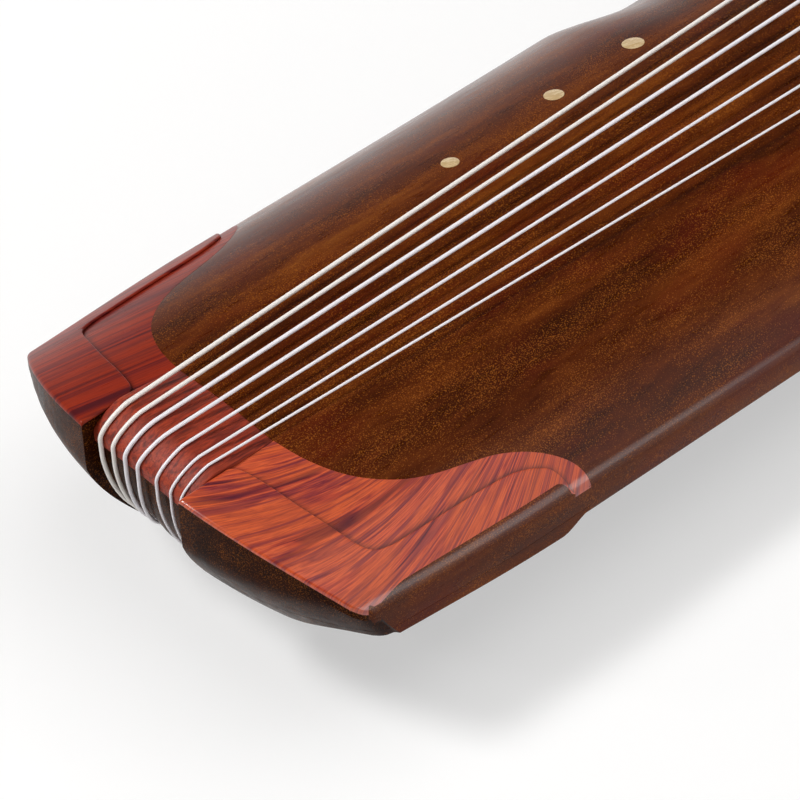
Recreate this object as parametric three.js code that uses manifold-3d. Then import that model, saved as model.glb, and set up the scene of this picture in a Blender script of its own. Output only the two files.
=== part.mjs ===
// Guqin, a seven-string zither, built as its separate pieces. Millimetres, +Z up.
// All pieces are drawn in one drawing frame: x runs from the ridge of the tail nut to the head,
// y from the player's side to the far side, and z up from the crown of the soundboard.
// The last group puts the whole on its feet, centred over the origin.
import * as THREE from 'three';
import { mergeVertices } from 'three/addons/utils/BufferGeometryUtils.js';
import Module from 'manifold-3d';

const wasm = await Module();
wasm.setup();

const { smoothstep, clamp, lerp, degToRad } = THREE.MathUtils;

// Driving dimensions of the whole
const vibratingLength = 1120; // ridge of the tail nut to the bridge
const headBeyondBridge = 88; // bridge to the end of the head
const tailOverhang = 14.8; // ridge to the tip of the tail corners

// Outline, as half widths
const tailHalfWidth = 74.1;
const shoulderHalfWidth = 97.5;
const neckHalfWidth = 80;
const headHalfWidth = 84.5;
const waistDepth = 8;
const cornerSetIn = 2.9; // the tips of the tail corners stand in from the line of the sides
const waistCurve = 34;
const shoulderCurve = 52;
const headCurve = 14;
const headLead = 26; // the head widens this far before the bridge
const headCornerRadius = 7;

// Places along the strings, as shares of the vibrating length
const setInShare = 0.8; // of the tail corner's length
const dropSettlesShare = 0.16; // the arch is at its full height from here on
const waistStartShare = 0.2;
const waistEndShare = 0.4;
const shoulderShare = 0.8;
const lowHeadShare = 0.75;
const footShare = 0.292;
const markerShares = [7 / 8, 5 / 6, 4 / 5, 3 / 4, 2 / 3, 3 / 5, 1 / 2, 2 / 5, 1 / 3, 1 / 4, 1 / 5, 1 / 6, 1 / 8];

// Section of the body
const tailEdgeDrop = 20.6; // the arch falls this far from crown to edge
const waistEdgeDrop = 25.2;
const shoulderEdgeDrop = 27.5;
const headEdgeDrop = 22;
const archSquareShare = 0.5; // share of the fall that goes with the square, the rest with the fourth power
const lowHead = 5; // the crown sinks this far towards the bridge
const tailThickness = 34.5;
const bodyThickness = 46;
const bottomAtTail = 6.5; // thickness of the bottom board
const bottomAtShoulder = 9;
const edgeRadius = 2.5;
const bottomEdgeRise = 1.5;
const topThickness = 11;
const topThinning = 3.5; // the soundboard is this much thinner at its sides
const sideWall = 13;
const chamberStart = 96;
const chamberEndLead = 62; // the chamber ends this far before the bridge
const glueGap = 0.3; // clearance of every joint that is let in or cut to its neighbour
const overrun = 5; // how far a cutting solid passes the face that it cuts

// Tail end
const cornerLength = 88; // red tail corners, from the ridge towards the head
const cornerThickness = 4;
const cornerEdgeThickness = 2;
const rimHeight = 1.2;
const recessHalfWidth = 20.5;
const endSweep = 18.8; // the end edge runs back this far towards the sides
const endSweepAt = 70;
const endSweepPower = 2.6;
const endCornerRadius = 3;
const endBevel = 0.8;
const endUprightDepth = 17; // the end face is upright down to this depth below the crown
const endFaceDepth = 46.5; // and curves in from there to this depth
const endReach = 17;
const endCurvePower = 1.35;
const keelInnerDepth = 47; // lower corners, below the crown, at the recess
const keelEdgeDepth = 34.3; // and at the outer edge
const keelEdgeFallShare = 0.05;
const keelInnerFallShare = 0.02;
const keelBowStartShare = 0.14;
const keelBowEndShare = 0.78;
const keelEndRun = 11; // the lower corner's outer edge fades out over this length
const lowerCornerLetIn = 3;
const cornerZoneShare = 1.3; // the tail's own cuts reach this far along, as a share of the corner's length

// Tail nut and its support
const nutBack = 20;
const nutReach = 10.4;
const nutDepth = 9;
const ridgeHeight = 2;
const ridgeRadius = 5;
const nutEdgeRadius = 2.5;
const nutBackSlope = 8;
const nutFrontSlope = 30;
const nutFaceHeight = 3.2;
const supportBack = 12;
const supportCurve = 12; // the support's face curves in this far, as a quarter of an ellipse
const supportSetBack = 1;
const supportProud = 1;

// Bridge and peg hole strip
const bridgeThickness = 12;
const bridgeHalfLength = 74;
const bridgeHeight = 17;
const bridgeFallAtEnds = 9;
const bridgeEndRun = 11;
const bridgeTopRadius = 3;
const bridgeTopFall = 2;
const inlayDepth = 3;
const stripWidth = 17;
const holeFromBridge = 10; // string eye, measured from the bridge's back face
const eyeRadius = 2.6;

// Strings, the first on the far side
const stringDiameters = [1.4, 1.25, 1.25, 1.15, 0.95, 0.85, 0.75];
const bridgeSpacing = 20.5;
const firstStringAtTail = 16.4;
const tailPlaceShares = [1, 0.652, 0.317, -0.061, -0.445, -0.817, -1.055];
const edgePlaceShares = [1, 0.671, 0.354, 0.03, -0.445, -0.805, -1.055];
const keelPlaceShares = [0.49, 0.36, 0.24, 0.09, -0.81, -0.93, -1.05];
const stringDrawPower = 1.5; // how late the strings draw together on the support
const farFootStrings = 4;
const knotRadius = 2.6;
const knotDip = 1.6;
const windingTurns = 2;
const windingGap = 0.45;
const windingSteps = 24;
const tubeSides = 6;

// Tuning pegs, cords and the pool in the head that holds them
const pegLength = 38;
const pegHeadRadius = 8;
const pegWaistRadius = 5;
const pegBellyRadius = 6.4;
const pegEndRadius = 3;
const pegRimRadius = 3.75;
const pegShares = { head: 0.1, waist: 0.2, bellyStart: 0.45, bellyEnd: 0.62, rim: 0.96 }; // from its top
const pegBoreDepth = 26;
const pegSides = 8;
const poolWidth = 28;
const poolHalfLength = 72;
const poolDepth = 17;
const poolCornerRadius = 6;
const cordRadius = 0.7;
const cordSpread = 1;
const cordDepthInPeg = 22;
const cordLoopGap = 0.35;
const cordTurnShare = 0.12; // the cord turns up towards the knot here, from its loop to its eye
const cordCloseShare = 0.2;

// Guards, feet, posts, holes and markers
const guardLength = 44;
const guardWidth = 12;
const guardAtY = 77;
const guardTaperShare = 0.86;
const guardTenonShare = 0.6;
const guardRoundShare = 0.6; // its corners' radius, of half its width
const guardStraightShare = 0.35; // of its height, before it starts to taper
const guardKneeShare = 0.8;
const guardKneeTaperShare = 0.5;
const tenonDepth = 5;
const footAtY = 42;
const footNeckRadius = 11;
const footSoleHalf = 14;
const footSoleHeight = 5;
const footCollarHalf = 13;
const footCollarHeight = 1.2;
const footTenonHalf = 7;
const footFlare = 2.5;
const firstTurnDrop = 1.4; // first turn of string below the foot's collar
const turnsAboveSole = 1.9; // lowest turn of string above the flare of the foot's sole
const pegsAboveTable = 2.5;
const postHalf = 9;
const roundPostFromPad = 33; // from the pad over the long sound hole
const squarePostFromPad = 100;
const longHole = { startShare: 0.545, length: 200, width: 29 };
const shortHole = { startShare: 0.147, length: 105, width: 28 };
const holeCornerRadius = 9;
const padMargin = 8;
const padClearance = 12;
const markerSmallRadius = 2.9;
const markerLargeRadius = 5.2;
const markerThickness = 1.2;
const markerFromString = 12.3;

// Derived places
const bridgeX = vibratingLength;
const headEnd = bridgeX + headBeyondBridge;
const headStart = bridgeX - headLead;
const shoulderX = vibratingLength * shoulderShare;
const waistStart = vibratingLength * waistStartShare;
const waistEnd = vibratingLength * waistEndShare;
const lowHeadX = vibratingLength * lowHeadShare;
const footX = vibratingLength * footShare;
const dropSettlesX = vibratingLength * dropSettlesShare;
const chamberEnd = bridgeX - chamberEndLead;
const stripStart = bridgeX + bridgeThickness + glueGap;
const holeX = bridgeX + bridgeThickness + holeFromBridge;
const stringCount = stringDiameters.length;

// Half width of the body at x: one straight taper, with the waist, neck and head worked into it
function halfWidth(x) {
  const share = Math.min(x, shoulderX) / shoulderX;
  const taper = lerp(tailHalfWidth, shoulderHalfWidth, share);
  const corner = cornerSetIn * (1 - smoothstep(x, -tailOverhang, cornerLength * setInShare));
  const waistIn = smoothstep(x, waistStart, waistStart + waistCurve);
  const waistOut = smoothstep(x, waistEnd - waistCurve, waistEnd);
  const neck = (shoulderHalfWidth - neckHalfWidth) * smoothstep(x, shoulderX, shoulderX + shoulderCurve);
  const head = (headHalfWidth - neckHalfWidth) * smoothstep(x, headStart, headStart + headCurve);
  const endRun = clamp((x - (headEnd - headCornerRadius)) / headCornerRadius, 0, 1);
  const endRound = headCornerRadius * (1 - Math.sqrt(1 - endRun * endRun));
  return taper - corner - waistDepth * waistIn * (1 - waistOut) - neck + head - endRound;
}

// Fall of the arch from crown to edge
function edgeDrop(x) {
  const tail = lerp(tailEdgeDrop, waistEdgeDrop, clamp(x / dropSettlesX, 0, 1));
  const body = (shoulderEdgeDrop - waistEdgeDrop) * clamp((x - dropSettlesX) / (shoulderX - dropSettlesX), 0, 1);
  const head = (headEdgeDrop - shoulderEdgeDrop) * smoothstep(x, shoulderX, headStart);
  return tail + body + head;
}

function crownLine(x) {
  const run = clamp((x - lowHeadX) / (bridgeX - lowHeadX), 0, 1);
  return -lowHead * run * run;
}

// Height of the arched top at x, y, with its edge rounded over
function boardTop(x, y) {
  const width = halfWidth(x);
  const u = Math.min(Math.abs(y) / width, 1);
  const arch = archSquareShare * u * u + (1 - archSquareShare) * u ** 4;
  const over = clamp((Math.abs(y) - (width - edgeRadius)) / edgeRadius, 0, 1);
  const round = edgeRadius * (1 - Math.sqrt(1 - over * over));
  return crownLine(x) - edgeDrop(x) * arch - round;
}

function underside(x) {
  return -lerp(tailThickness, bodyThickness, clamp(x / shoulderX, 0, 1));
}

function seam(x) {
  return underside(x) + lerp(bottomAtTail, bottomAtShoulder, clamp(x / shoulderX, 0, 1));
}

// Plan of the tail's end edge
function endEdge(y) {
  const sweep = endSweep * (Math.abs(y) / endSweepAt) ** endSweepPower;
  const over = clamp((Math.abs(y) - (halfWidth(0) - endCornerRadius)) / endCornerRadius, 0, 1);
  return sweep - tailOverhang + endCornerRadius * (1 - Math.sqrt(1 - over * over));
}

// Underside of the lower tail corners, bowed from the recess out to the edge
function keel(x, y) {
  const width = halfWidth(x);
  const s = clamp((width - Math.abs(y)) / (width - recessHalfWidth), 0, 1);
  const run = Math.max(x, 0);
  const full = -keelEdgeDepth - keelEdgeFallShare * run;
  const edge = lerp(full, underside(x), smoothstep(x, cornerLength - keelEndRun, cornerLength));
  const inner = -keelInnerDepth - keelInnerFallShare * run;
  return lerp(edge, inner, smoothstep(s, keelBowStartShare, keelBowEndShare));
}

// Places of a string across the instrument: at the tail, at the bridge and in between
const tailY = (i) => firstStringAtTail * tailPlaceShares[i];
const bridgeY = (i) => bridgeSpacing * ((stringCount - 1) / 2 - i);
const stringY = (i, x) => lerp(tailY(i), bridgeY(i), x / vibratingLength);

// Helpers: a geometry as a solid, and a solid as a geometry
function solid(geometry) {
  const bare = new THREE.BufferGeometry();
  bare.setAttribute('position', geometry.getAttribute('position').clone());
  if (geometry.index) bare.setIndex(geometry.index.clone());
  const merged = mergeVertices(bare, 1e-4);
  const vertProperties = new Float32Array(merged.getAttribute('position').array);
  const triVerts = new Uint32Array(merged.index.array);
  const made = new wasm.Manifold(new wasm.Mesh({ numProp: 3, vertProperties, triVerts }));
  if (made.volume() > 0) return made;
  for (let i = 0; i < triVerts.length; i += 3) {
    [triVerts[i + 1], triVerts[i + 2]] = [triVerts[i + 2], triVerts[i + 1]];
  }
  return new wasm.Manifold(new wasm.Mesh({ numProp: 3, vertProperties, triVerts }));
}

function geometryOf(made) {
  const mesh = made.getMesh();
  const geometry = new THREE.BufferGeometry();
  geometry.setAttribute('position', new THREE.BufferAttribute(new Float32Array(mesh.vertProperties), 3));
  geometry.setIndex(new THREE.BufferAttribute(new Uint32Array(mesh.triVerts), 1));
  geometry.computeVertexNormals();
  return geometry;
}

// A closed solid through rings of points; each ring has the same number and lies in one plane.
// With inStrips its two ends are closed by strips between the ring's first and second half.
function loft(rings, inStrips = false) {
  const count = rings[0].length;
  const positions = rings.flat().flatMap((p) => [p.x, p.y, p.z]);
  const index = [];
  for (let i = 0; i < rings.length - 1; i++) {
    for (let j = 0; j < count; j++) {
      const a = i * count + j;
      const b = i * count + ((j + 1) % count);
      index.push(a, b, a + count, b, b + count, a + count);
    }
  }
  const capEnds = [[rings[0], 0, true], [rings[rings.length - 1], (rings.length - 1) * count, false]];
  for (const [ring, base, turned] of capEnds) {
    for (const [a, b, c] of inStrips ? stripTriangles(count) : capTriangles(ring)) {
      if (turned) index.push(base + a, base + c, base + b);
      else index.push(base + a, base + b, base + c);
    }
  }
  const geometry = new THREE.BufferGeometry();
  geometry.setAttribute('position', new THREE.Float32BufferAttribute(positions, 3));
  geometry.setIndex(index);
  return solid(geometry);
}

function stripTriangles(count) {
  const triangles = [];
  for (let j = 0; j < count / 2 - 1; j++) {
    const under = count - 1 - j;
    triangles.push([j, j + 1, under], [j + 1, under - 1, under]);
  }
  return triangles;
}

// Triangles of a flat ring, turned to follow the ring's own sense
function capTriangles(ring) {
  const normal = new THREE.Vector3();
  ring.forEach((p, i) => {
    const q = ring[(i + 1) % ring.length];
    normal.x += (p.y - q.y) * (p.z + q.z);
    normal.y += (p.z - q.z) * (p.x + q.x);
    normal.z += (p.x - q.x) * (p.y + q.y);
  });
  normal.normalize();
  const turn = new THREE.Quaternion().setFromUnitVectors(normal, new THREE.Vector3(0, 0, 1));
  const flat = ring.map((p) => p.clone().applyQuaternion(turn));
  return THREE.ShapeUtils.triangulateShape(flat.map((p) => new THREE.Vector2(p.x, p.y)), []);
}

const nearlyAlong = 0.9; // cosine at which a direction is too near the tube's own to start from

// A tube through points, its rings mitred at the bends
function tube(points, radius, sides = tubeSides) {
  const rings = [];
  let across = new THREE.Vector3(0, 0, 1);
  points.forEach((p, i) => {
    const before = points[Math.max(i - 1, 0)];
    const after = points[Math.min(i + 1, points.length - 1)];
    const inward = p.clone().sub(before);
    const outward = after.clone().sub(p);
    if (i === 0) inward.copy(outward);
    if (i === points.length - 1) outward.copy(inward);
    inward.normalize();
    outward.normalize();
    const along = inward.clone().add(outward).normalize();
    if (Math.abs(across.dot(inward)) > nearlyAlong) across = new THREE.Vector3(0, 1, 0);
    across.addScaledVector(inward, -across.dot(inward)).normalize();
    const side = new THREE.Vector3().crossVectors(inward, across);
    const ring = [];
    for (let k = 0; k < sides; k++) {
      const angle = (2 * Math.PI * k) / sides;
      const spoke = across.clone().multiplyScalar(Math.cos(angle) * radius);
      spoke.addScaledVector(side, Math.sin(angle) * radius);
      // slide the point along the incoming run on to the plane that halves the bend
      spoke.addScaledVector(inward, -spoke.dot(along) / inward.dot(along));
      ring.push(p.clone().add(spoke));
    }
    rings.push(ring);
    across.addScaledVector(outward, -across.dot(outward)).normalize();
  });
  return loft(rings);
}

function box(x0, x1, y0, y1, z0, z1) {
  const geometry = new THREE.BoxGeometry(x1 - x0, y1 - y0, z1 - z0);
  geometry.translate((x0 + x1) / 2, (y0 + y1) / 2, (z0 + z1) / 2);
  return solid(geometry);
}

function cylinder(x, y, z0, z1, radius, sides = 12) {
  const geometry = new THREE.CylinderGeometry(radius, radius, z1 - z0, sides);
  geometry.rotateX(Math.PI / 2);
  geometry.translate(x, y, (z0 + z1) / 2);
  return solid(geometry);
}

// A plan outline carried from z0 to z1
function prism(points, z0, z1) {
  const shape = new THREE.Shape(points);
  const geometry = new THREE.ExtrudeGeometry(shape, { depth: z1 - z0, bevelEnabled: false });
  geometry.translate(0, 0, z0);
  return solid(geometry);
}

// Points of a rectangle with round corners, centred on x, y
function roundedRectangle(x, y, halfX, halfY, radius, steps = 4) {
  const points = [];
  const centres = [[1, 1], [-1, 1], [-1, -1], [1, -1]];
  centres.forEach(([sx, sy], corner) => {
    for (let k = 0; k < steps; k++) {
      const angle = (corner + (k + 0.5) / steps) * (Math.PI / 2);
      const px = x + sx * (halfX - radius) + radius * Math.cos(angle);
      points.push(new THREE.Vector2(px, y + sy * (halfY - radius) + radius * Math.sin(angle)));
    }
  });
  return points;
}

const atHeight = (points, z) => points.map((p) => new THREE.Vector3(p.x, p.y, z));

// Points of an arc in the upright plane along the strings; angles in degrees, 90 is straight up.
// With a second radius it is an arc of an ellipse.
function arc(centre, radius, from, to, steps, uprightRadius = radius) {
  const points = [];
  for (let k = 0; k <= steps; k++) {
    const angle = degToRad(lerp(from, to, k / steps));
    const across = radius * Math.cos(angle);
    points.push(new THREE.Vector2(centre.x + across, centre.y + uprightRadius * Math.sin(angle)));
  }
  return points;
}

// Places along the body where its section is drawn
function stations(from, to) {
  const curves = [
    [-tailOverhang, cornerLength * setInShare],
    [waistStart, waistStart + waistCurve],
    [waistEnd - waistCurve, waistEnd],
    [shoulderX, shoulderX + shoulderCurve],
    [headStart, headStart + headCurve],
  ];
  const places = [from, to, dropSettlesX, (waistStart + waistEnd) / 2, (waistEnd + lowHeadX) / 2, lowHeadX];
  places.push((shoulderX + shoulderCurve + headStart) / 2, headEnd - headCornerRadius);
  places.push(headEnd - headCornerRadius / 2, headEnd - headCornerRadius / 7);
  for (const [start, end] of curves) {
    for (let k = 0; k <= 4; k++) places.push(lerp(start, end, k / 4));
  }
  const inside = places.filter((x) => x >= from && x <= to);
  const nearest = headCornerRadius / 10;
  return [...new Set(inside)].sort((a, b) => a - b).filter((x, i, all) => i === 0 || x - all[i - 1] > nearest);
}

const archShares = [0.2, 0.38, 0.55, 0.7, 0.82, 0.91, 0.965, 0.99, 1];
const acrossShares = [...archShares.map((u) => -u).reverse(), 0, ...archShares];
const cutterShares = [-1.02, ...acrossShares, 1.02]; // a cutting slab passes the sides by a little
const chamberPostShare = 0.15; // the ceiling is level enough over the sound posts within this
const chamberShares = [-1, -0.8, -0.5, -chamberPostShare, 0, chamberPostShare, 0.5, 0.8, 1];

// A slab of the body between two surfaces given as functions of x and y
function slab(places, shares, low, high) {
  return loft(places.map((x) => {
    const ys = shares.map((u) => u * halfWidth(x));
    const over = ys.map((y) => new THREE.Vector3(x, y, high(x, y)));
    const under = ys.map((y) => new THREE.Vector3(x, y, low(x, y))).reverse();
    return [...over, ...under];
  }), true);
}

const deep = -bodyThickness - overrun;
const tall = ridgeHeight + bridgeHeight;

// Steps across the tail's end, and down its face
const endShares = [0.42, 0.55, 0.67, 0.78, 0.87, 0.93, 0.965, 0.99, 1.01, 1.03, 1.4];
const endFaceShares = [0, 0.15, 0.3, 0.45, 0.65, 0.85, 1];

// The space kept at the tail: everything on the head's side of the swept, leaning end face
function tailMask() {
  const high = ridgeHeight + rimHeight + overrun;
  const far = cornerLength * cornerZoneShare;
  const sideShares = [recessHalfWidth / endSweepAt, ...endShares];
  const ys = [...sideShares.map((u) => -u).reverse(), 0, ...sideShares].map((u) => u * endSweepAt);
  return loft(ys.map((y) => {
    const edge = endEdge(y);
    const top = boardTop(0, y) + rimHeight;
    const face = [[edge + endBevel, high], [edge + endBevel, top], [edge, top - endBevel]];
    const curveTop = Math.min(-endUprightDepth, top - 2 * endBevel);
    for (const t of endFaceShares) {
      const z = lerp(curveTop, -endFaceDepth, t);
      const run = Math.max((-endUprightDepth - z) / (endFaceDepth - endUprightDepth), 0);
      face.push([edge + endReach * run ** endCurvePower, z]);
    }
    face.push([edge + endReach, deep], [far, deep], [far, high]);
    return face.map(([x, z]) => new THREE.Vector3(x, y, z));
  }));
}

const mask = tailMask();
const bodyStart = -tailOverhang - overrun;

// Keeps the part of a solid that lies inside the tail's end face
function trimTail(made) {
  const rest = box(cornerLength, headEnd + overrun, -shoulderX, shoulderX, -shoulderX, shoulderX);
  return made.intersect(mask.add(rest));
}

// Plan of a tail corner; side is 1 for the far one, -1 for the near one, grow widens it for a pocket
const cornerEdgeShares = [[0.228, 0.281], [0.25, 0.4], [0.296, 0.52], [0.36, 0.61], [0.45, 0.685], [0.55, 0.733],
  [0.66, 0.765], [0.77, 0.8], [0.87, 0.855], [0.945, 0.92], [0.985, 0.98], [1, 1.06]];
function cornerPlan(side, grow = 0) {
  const edge = cornerEdgeShares.map(([u, v]) => [u * cornerLength + grow, v * tailHalfWidth - grow]);
  edge[0][1] = recessHalfWidth - grow;
  const outer = shoulderHalfWidth;
  const points = [[bodyStart, recessHalfWidth - grow], ...edge, [edge.at(-1)[0], outer], [bodyStart, outer]];
  return points.map(([x, y]) => new THREE.Vector2(x, side * y));
}

// Plan of the raised rim that runs round the tail corner's two outer sides
const rimEdgeShares = [[0.034, 0.281], [0.066, 0.315], [0.09, 0.42], [0.115, 0.56], [0.15, 0.69], [0.178, 0.775],
  [0.21, 0.825], [0.27, 0.848], [0.36, 0.855], [0.5, 0.863], [0.66, 0.872], [0.77, 0.885], [0.85, 0.915],
  [0.895, 0.955], [0.92, 1.06]];
function rimPlan(side) {
  const edge = rimEdgeShares.map(([u, v]) => [u * cornerLength, v * tailHalfWidth]);
  edge[0][1] = recessHalfWidth;
  const outer = shoulderHalfWidth;
  const points = [[bodyStart, recessHalfWidth], ...edge, [edge.at(-1)[0], outer], [bodyStart, outer]];
  return points.map(([x, y]) => new THREE.Vector2(x, side * y));
}

const keelEnd = [cornerLength - keelEndRun, cornerLength - keelEndRun / 2, cornerLength];
const cornerPlaces = [...stations(bodyStart, cornerLength * cornerZoneShare), ...keelEnd].sort((a, b) => a - b);

// Underside of the red tail corners, which thin towards the edge
function cornerBottom(x, y) {
  const u = Math.min(Math.abs(y) / halfWidth(x), 1);
  return boardTop(x, y) - lerp(cornerThickness, cornerEdgeThickness, u ** 4);
}

// Red tail corner, an inlay that follows the arch, with its raised rim
function tailCorner(side) {
  const base = slab(cornerPlaces, acrossShares, cornerBottom, boardTop);
  const raised = slab(cornerPlaces, acrossShares, cornerBottom, (x, y) => boardTop(x, y) + rimHeight);
  const inner = base.intersect(prism(cornerPlan(side), deep, tall));
  const rim = raised.intersect(prism(rimPlan(side), deep, tall));
  return trimTail(inner.add(rim));
}

// Dark block under each tail corner, let into the bottom board, bowed like a keel
const lowerTop = (x) => underside(x) + lowerCornerLetIn;
function lowerCorner(side) {
  const block = slab(cornerPlaces, acrossShares, keel, lowerTop);
  return trimTail(block.intersect(prism(cornerPlan(side), deep, tall)));
}

// The recess between the tail corners, that holds the tail nut and its support
function recessCut() {
  const nutPocket = box(bodyStart, nutBack + glueGap, -recessHalfWidth, recessHalfWidth, -nutDepth - glueGap, tall);
  const supportPocket = box(bodyStart, supportBack + glueGap, -recessHalfWidth, recessHalfWidth, deep, tall);
  return nutPocket.add(supportPocket);
}

function poolCut() {
  const plan = roundedRectangle(holeX, 0, poolWidth / 2, poolHalfLength, poolCornerRadius);
  return prism(plan, deep, underside(holeX) + poolDepth);
}

function soundHolePlan({ startShare, length, width }, margin = 0) {
  const centre = vibratingLength * startShare + length / 2;
  const radius = holeCornerRadius + margin;
  return roundedRectangle(centre, 0, length / 2 + margin, width / 2 + margin, radius);
}

// The hollow carved from below, less the two pads that face the sound holes
function chamberCut() {
  const places = stations(chamberStart, chamberEnd);
  const rings = places.map((x) => {
    const half = halfWidth(x) - sideWall;
    const roof = chamberShares.map((u) => new THREE.Vector3(x, u * half, ceiling(x, u * half)));
    const floor = seam(x) - overrun;
    return [...roof, new THREE.Vector3(x, half, floor), new THREE.Vector3(x, -half, floor)];
  });
  let hollow = loft(rings);
  for (const hole of [longHole, shortHole]) {
    const low = seam(vibratingLength * hole.startShare) + padClearance;
    hollow = hollow.subtract(prism(soundHolePlan(hole, padMargin), low, tall));
  }
  return hollow;
}

function ceiling(x, y) {
  const u = Math.abs(y) / halfWidth(x);
  return boardTop(x, y) - topThickness + topThinning * u * u;
}

// Groove across the head that the bridge and the strip are let into
function inlayCut() {
  const back = stripStart + stripWidth + glueGap;
  const half = bridgeHalfLength + glueGap;
  const plan = [[bridgeX - glueGap, -half], [back, -half], [back, half], [bridgeX - glueGap, half]];
  const above = slab([bridgeX - overrun, back + overrun], acrossShares,
    (x, y) => boardTop(bridgeX, y) - inlayDepth - glueGap, () => tall);
  return above.intersect(prism(plan.map(([x, y]) => new THREE.Vector2(x, y)), deep, tall));
}

// Markers: place, size and tilt of each small disc on the arch
function markerSeat(i) {
  const x = vibratingLength * (1 - markerShares[i]);
  const fromMiddle = Math.abs(i - (markerShares.length - 1) / 2) / ((markerShares.length - 1) / 2);
  const radius = lerp(markerLargeRadius, markerSmallRadius, fromMiddle);
  const y = stringY(0, x) + markerFromString;
  const step = radius / 2;
  const slopeY = (boardTop(x, y + step) - boardTop(x, y - step)) / (2 * step);
  const slopeX = (boardTop(x + step, y) - boardTop(x - step, y)) / (2 * step);
  const normal = new THREE.Vector3(-slopeX, -slopeY, 1).normalize();
  const turn = new THREE.Quaternion().setFromUnitVectors(new THREE.Vector3(0, 1, 0), normal);
  return { radius, turn, normal, point: new THREE.Vector3(x, y, boardTop(x, y)) };
}

function markerPocket(i) {
  const { radius, turn, normal, point } = markerSeat(i);
  const depth = markerThickness + glueGap;
  const geometry = new THREE.CylinderGeometry(radius + glueGap, radius + glueGap, depth + overrun, 12);
  geometry.applyQuaternion(turn);
  const middle = point.clone().addScaledVector(normal, (overrun - depth) / 2);
  geometry.translate(middle.x, middle.y, middle.z);
  return solid(geometry);
}

function soundboard() {
  let board = slab(stations(bodyStart, headEnd), acrossShares, seam, boardTop);
  board = board.subtract(chamberCut()).subtract(recessCut()).subtract(inlayCut()).subtract(poolCut());
  const above = slab(cornerPlaces, cutterShares, (x, y) => cornerBottom(x, y) - glueGap, () => tall);
  for (const side of [1, -1]) {
    board = board.subtract(above.intersect(prism(cornerPlan(side, glueGap), deep, tall)));
  }
  for (let i = 0; i < stringCount; i++) {
    board = board.subtract(cylinder(holeX, bridgeY(i), deep, tall, eyeRadius));
  }
  for (let i = 0; i < markerShares.length; i++) board = board.subtract(markerPocket(i));
  return trimTail(board);
}

const bottomShares = [-1, -0.985, -0.5, 0.5, 0.985, 1];
const bottomFlatShare = 0.99;

// Bottom board with its sound holes, peg pool, mortises and the pockets for the lower corners
function bottomBoard() {
  const under = (x) => underside(x);
  const top = (x) => seam(x) - glueGap;
  const edgeRise = (x, y) => (Math.abs(y) > halfWidth(x) * bottomFlatShare ? bottomEdgeRise : 0);
  let board = slab(stations(bodyStart, headEnd), bottomShares, (x, y) => under(x) + edgeRise(x, y), top);
  board = board.subtract(recessCut()).subtract(poolCut());
  for (const hole of [longHole, shortHole]) board = board.subtract(prism(soundHolePlan(hole), deep, tall));
  for (const side of [1, -1]) {
    const below = slab(cornerPlaces, cutterShares, () => deep, (x) => lowerTop(x) + glueGap);
    board = board.subtract(below.intersect(prism(cornerPlan(side, glueGap), deep, tall)));
    const guardHalf = [guardLength / 2 * guardTenonShare + glueGap, guardWidth / 2 * guardTenonShare + glueGap];
    const guardHole = roundedRectangle(holeX, side * guardAtY, ...guardHalf, guardWidth / 6);
    board = board.subtract(prism(guardHole, deep, underside(holeX) + tenonDepth + glueGap));
    const footHalf = footTenonHalf + glueGap;
    const footHole = roundedRectangle(footX, side * footAtY, footHalf, footHalf, footTenonHalf / 4);
    board = board.subtract(prism(footHole, deep, underside(footX) + tenonDepth + glueGap));
  }
  return trimTail(board);
}

// Tail nut: a ridge, a slope down to the end, and a round edge that the strings turn over
const ridgeCentre = new THREE.Vector2(0, ridgeHeight - ridgeRadius);
const frontNormal = 90 + nutFrontSlope;
const edgeCentre = (() => {
  const x = nutEdgeRadius - nutReach;
  const cos = Math.cos(degToRad(frontNormal));
  const sin = Math.sin(degToRad(frontNormal));
  return new THREE.Vector2(x, ridgeCentre.y + (ridgeRadius - nutEdgeRadius - x * cos) / sin);
})();
const supportTop = -nutDepth - glueGap;
const supportDrop = tailThickness + supportProud + supportTop;
const supportCentre = new THREE.Vector2(supportCurve - nutReach + supportSetBack, supportTop);

function tailNut() {
  const back = nutBack;
  const outline = [
    new THREE.Vector2(back, -nutDepth),
    new THREE.Vector2(back, crownLine(back)),
    ...arc(ridgeCentre, ridgeRadius, 90 - nutBackSlope, frontNormal, 4),
    ...arc(edgeCentre, nutEdgeRadius, frontNormal, 180, 4),
    new THREE.Vector2(-nutReach, edgeCentre.y - nutFaceHeight),
    new THREE.Vector2(-nutReach + nutEdgeRadius, -nutDepth),
  ];
  const half = recessHalfWidth - glueGap;
  const rings = [-1, -0.5, 0, 0.5, 1].map((u) => {
    const fall = boardTop(back, u * half) - crownLine(back);
    return outline.map((p) => new THREE.Vector3(p.x, u * half, p.y + (p.y > -nutDepth ? fall : 0)));
  });
  return loft(rings);
}

// Dark block under the nut, its foot rounded where the strings turn under the body
function tailNutSupport() {
  const half = recessHalfWidth - glueGap;
  const outline = [
    new THREE.Vector2(supportBack, supportTop),
    ...arc(supportCentre, supportCurve, 180, 270, 8, supportDrop),
    new THREE.Vector2(supportBack, supportTop - supportDrop),
  ];
  return loft([-half, half].map((y) => outline.map((p) => new THREE.Vector3(p.x, y, p.y))));
}

// Bridge, with a rounded top that follows the arch and falls off at both ends
function bridgeTop(y) {
  const fall = smoothstep(Math.abs(y), bridgeHalfLength - bridgeEndRun, bridgeHalfLength);
  return boardTop(bridgeX, y) + bridgeHeight - bridgeFallAtEnds * fall;
}

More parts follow.
